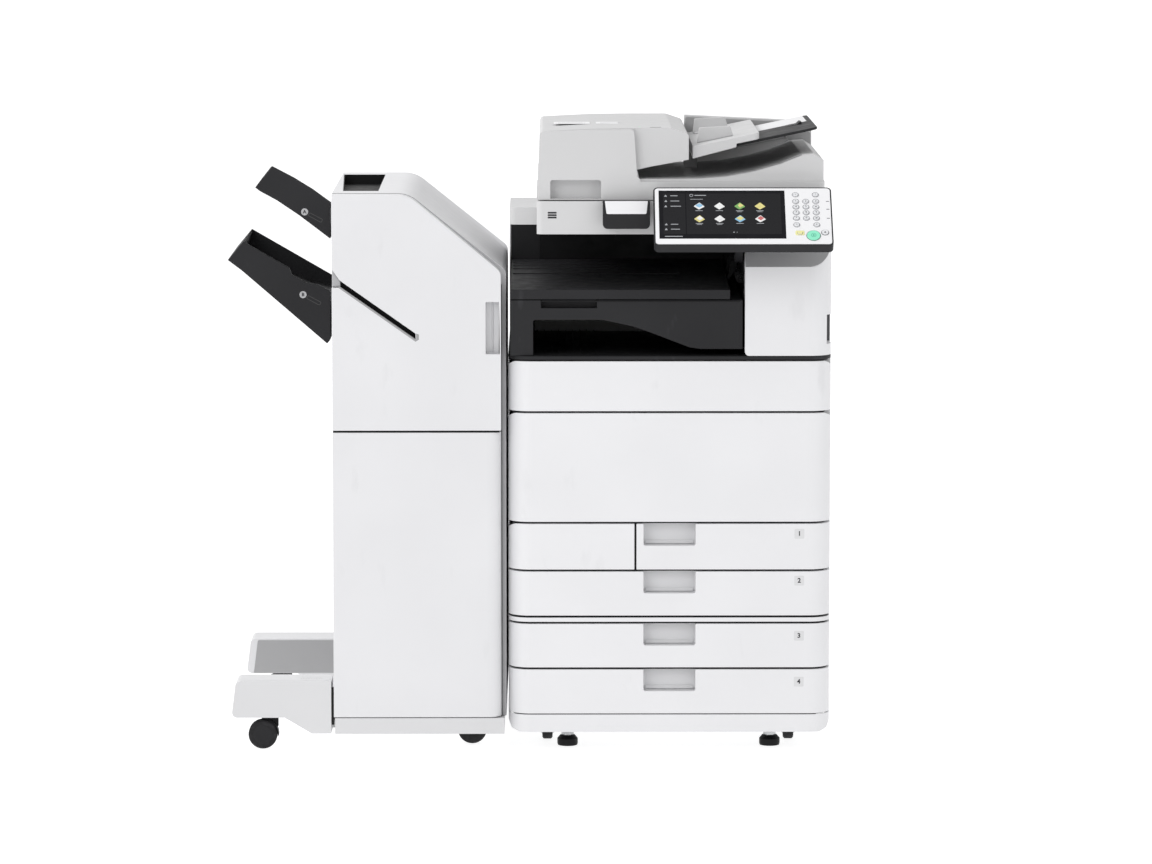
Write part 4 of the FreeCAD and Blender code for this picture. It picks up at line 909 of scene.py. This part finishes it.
def make_finisher_inside():
    """The stapler's rail and cartridge, and the guides and knobs behind the door."""
    low, high = node_box("stapler_unit")
    rail_level = low.z - 0.2
    rail = Shape().tube([(-560, 60, rail_level), (-560, 560, rail_level)], 2.4)
    rail.make("stapler_rail", "root", "steel")
    cartridge = Shape().prism("x", low.x + 8, high.x - 8,
                              [(70, high.z), (100, high.z), (96, high.z + 8), (74, high.z + 8)])
    cartridge.make("stapler_cartridge", "stapler", "cassette_grey", HANDLE_BLUE, 1)
    guides = Shape()
    for level in (760, 840, 905):
        guides.prism("y", 70, 560, [(-640, level), (-420, level - 30), (-330, level - 24),
                                    (-330, level - 21), (-420, level - 27), (-640, level + 3)])
    guides.make("finisher_guides", "root", "black_plastic", edge=0.5)
    knobs = Shape()
    for across, level in ((-600, 800), (-470, 742), (-390, 860)):
        knobs.turned("y", (across, 0, level),
                     [(48, 4), (50, 17), (52, 19), (66, 19), (68, 17), (68, 5)], 24)
    knobs.make("finisher_knobs", "root", "cassette_grey", HANDLE_BLUE)


def make_finisher_details():
    """Recess liner, front frame, slot, grip, dark gaps and what is behind the door."""
    make_recess_liner()
    frame_band = Shape().band("y", 30.3, 31.7, finisher_outline(0.4), finisher_outline(14))
    frame_band.make("finisher_front_frame", "root", "finisher_cover", BAND_GREY)
    make_staple_slot()
    grip = Shape().prism("y", 19.1, 19.9, rounded(-352.3, -328, 768.4, 867.6, 3))
    grip.prism("z", 771, 865, [(-342, 19.3), (-339.5, 15), (-337, 19.3)])
    grip.make("door_grip_liner", "finisher_front_door", "finisher_cover", FINISHES["tile_grey"], 0.4)
    gap = Shape().block(-323.3, -321.6, 22, 30, 64, 900)
    gap.make("docking_gap", "root", "black_plastic", SHADOW_GREY)
    seam = Shape().block(-646, -327, 4, 29, 616.8, 620.4)
    seam.make("finisher_seam_strip", "root", "black_plastic", SEAM)
    make_finisher_inside()


def make_stack_tray_details():
    """Lettered discs and faint blank labels on the trays' sides; rollers at their exits."""
    for name, body, across, up in (("tray_a", "upper_stack_tray", -702, 1034),
                                   ("tray_b", "lower_stack_tray", -706, 874)):
        side = facing_front(across, node_box(name)[0].y, up)
        disc = Shape(side).prism("z", -0.2, 0.25, circle(0, 0, 6.8, 40))
        disc.make(name + "_disc", body, "key_grey", BAND_GREY, 0.1)
        letter = Shape(side).text(name[-1].upper(), 0, 0, 0.3, 9.5, 0.08, 0.3)
        letter.make(name + "_letter", body, "black_plastic", INK)
        label = Shape(side @ Matrix.Rotation(math.radians(-28), 4, "Z"))
        label.band("z", -0.1, 0.12, rounded(9, 38, -3.6, 3.6, 2), rounded(9.8, 37.2, -2.8, 2.8, 1.4))
        label.make(name + "_label", body, "dark_plastic",
                   moulded(name + "_print", (0.06, 0.06, 0.06), 0.5, 0.1))
    rollers = Shape()
    shaft_x = -645.5
    for level in (1046, 899):
        for number in range(5):
            rollers.turned("y", (shaft_x, 120 + 60 * number, level),
                           [(0, 2), (0, 5.5), (18, 5.5), (18, 2)], 20)
        rollers.turned("y", (shaft_x, 112, level), [(0, 1.8), (290, 1.8)], 12)
    rollers.make("tray_exit_rollers", "root", "rubber")


# -------- behind the covers

def make_bottle_details(number):
    """The grip on a toner bottle's end, and the ribs round it."""
    low, high = node_box("toner_bottle_%d" % number)
    body = "bottle_%d" % number
    across, level = (low.x + high.x) / 2, (low.z + high.z) / 2
    cap = Shape().turned("y", (across, low.y, level),
                         [(0.5, 6), (-3, 9), (-4.5, 16), (-3, 21), (0.5, 22)], 32)
    cap.block(across - 2, across + 2, low.y - 8, low.y - 2, level - 15, level + 15)
    cap.make(body + "_grip", body, "black_plastic", edge=0.6)
    ribs = Shape()
    for turn in range(12):
        deep = low.y + 80 + 21 * turn
        ribs.band("y", deep, deep + 5, circle(across, level, 29.4), circle(across, level, 27.8))
    ribs.make(body + "_ribs", body, "toner_%d" % number, edge=0.5)


def make_engine_details():
    """Handles and caps behind the front covers."""
    for number in range(1, 5):
        make_bottle_details(number)
    low = node_box("imaging_unit")[0]
    rooted, pulled, level = low.y + 1, low.y - 4, 520
    for number in range(4):
        left = low.x + 34 + 100 * number
        grip = Shape().tube([(left, rooted, level), (left, pulled, level),
                             (left + 40, pulled, level), (left + 40, rooted, level)], 3)
        grip.make("imaging_handle_%d" % (number + 1), "root", "cassette_grey", HANDLE_BLUE)
    lever = Shape().turned("y", (125, 0, 600), [(58, 6), (60, 16), (70, 16), (74, 8)])
    lever.prism("y", 56, 60, rounded(119, 131, 560, 612, 5))
    lever.make("release_lever", "root", "cassette_grey", HANDLE_BLUE, 0.8)
    box = Shape().prism("y", 58, 300, rounded(-290, -90, 358, 434, 6))
    box.prism("y", 50, 59, rounded(-215, -165, 385, 410, 5))
    box.make("waste_toner_box", "root", "cassette_grey", edge=1.2)
    deck = Shape().block(-296, 142, 60, 64, 660, 670)
    deck.make("toner_deck_lip", "root", "cassette_grey", edge=0.6)


def make_back_details():
    """Screws, a blank rating plate and connectors on the rear."""
    back = node_box("rear_cover")[1].y
    sunk = back - 0.3
    screws = Shape()
    for across in (-290, -100, 100, 290):
        for level in (60, 300, 620, 970):
            screws.turned("y", (across, back, level), [(-0.6, 5), (-0.15, 4.6), (-0.05, 1.5)], 20)
    screws.make("rear_screws", "root", "steel")
    plate = Shape().prism("y", sunk, sunk + 0.15, rounded(90, 170, 150, 200, 3))
    plate.make("rating_plate", "root", "white_cover", LABEL)
    lines = Shape()
    for row in range(5):
        up = 158 + 8 * row
        lines.prism("y", sunk, sunk + 0.28, rounded(96, 160 - 9 * (row % 3), up, up + 2, 0.8))
    lines.make("rating_plate_lines", "root", "key_grey", PALE)
    ports = Shape()
    for number in range(3):
        up = 560 + 26 * number
        ports.prism("y", back - 0.4, back - 0.05, rounded(-270, -250, up, up + 16, 2))
    ports.make("rear_ports", "root", "black_plastic", SEAM)


def make_side_details():
    """The bypass tray's grip, and the side door's vents and hinge knuckles."""
    side = node_box("bypass_tray")[1].x
    grip = Shape().prism("x", side - 3.9, side - 3.2, rounded(252, 308, 739.5, 756, 3))
    grip.make("bypass_grip_liner", "bypass", "cassette_grey")
    low, high = node_box("right_door")
    vents = Shape()
    for row in range(9):
        up = 300 + 13 * row
        vents.prism("x", high.x - 0.5, high.x - 0.05, rounded(150, 410, up, up + 4, 2))
    vents.make("side_door_vents", "side_door", "dark_plastic")
    knuckles = Shape()
    for deep in (low.y + 60, low.y + 360):
        knuckles.turned("y", (high.x - 8, deep, low.z + 3.5), [(0, 2), (0, 3.4), (60, 3.4), (60, 2)], 16)
    knuckles.make("side_door_knuckles", "side_door", "steel")


# -------- floor, light and camera

def make_stage():
    """A plain pale floor that runs past the edge of every view."""
    mesh = bpy.data.meshes.new("floor")
    shape = bmesh.new()
    bmesh.ops.create_circle(shape, cap_ends=True, segments=96, radius=90)
    shape.to_mesh(mesh)
    shape.free()
    material, shader = new_material("floor")
    tone = patches(shader, 0.6, 3, 0, 1)
    join(mix(tone, (0.30, 0.30, 0.305), (0.31, 0.31, 0.315)), shader.inputs["Base Color"])
    set_inputs(shader, {"Roughness": 0.6, "Emission Color": (1, 1, 1, 1), "Emission Strength": 0.86})
    mesh.materials.append(material)
    floor = add_object("floor", mesh)


def make_light(name, place, aim, power, size):
    """A square lamp, with its place and aim in metres in the frame."""
    data = bpy.data.lights.new(name, "AREA")
    data.energy = power
    data.size = size
    light = add_object(name, data)
    light.location = place
    light.rotation_euler = (Vector(aim) - Vector(place)).to_track_quat("-Z", "Y").to_euler()


def make_lights():
    """An even white studio: a bright surround, a key and a top light from the left, and a fill."""
    world = bpy.data.worlds.new("studio")
    world.use_nodes = True
    set_inputs(world.node_tree.nodes["Background"], {"Color": (1, 1, 1, 1), "Strength": 0.745})
    bpy.context.scene.world = world
    make_light("key", (-2.6, -4.2, 3.6), (0, 0, 0.6), 54, 2.4)
    make_light("fill", (3.4, -3.6, 2.2), (0, 0, 0.6), 14, 2.6)
    make_light("top", (-4.2, 0.6, 4.4), (0, 0.1, 0.8), 170, 3.0)


def make_camera():
    """A long lens ten metres in front of the machine, looking slightly down at it."""
    data = bpy.data.cameras.new("camera")
    data.lens = 164.1
    data.sensor_width = 36
    camera = add_object("camera", data)
    camera.location = MACHINE @ Vector((-240, -10000, 1787))
    aim = MACHINE @ Vector((-180, 0, 618))
    camera.rotation_euler = (aim - camera.location).to_track_quat("-Z", "Y").to_euler()
    bpy.context.scene.camera = camera
    bpy.context.scene.view_settings.view_transform = "Standard"


finish_cad_nodes()
make_crossbars()
for drawer in range(1, 5):
    make_drawer_number(drawer)
    make_drawer_inside(drawer)
make_bay_details()
make_feet_details()
make_screen()
make_keys()
make_panel_edge()
make_reader_details()
make_feeder_top()
make_feeder_inside()
make_tray_details()
make_handle_details()
make_column_band()
make_leg_details()
make_finisher_details()
make_stack_tray_details()
make_engine_details()
make_back_details()
make_side_details()
make_stage()
make_lights()
make_camera()
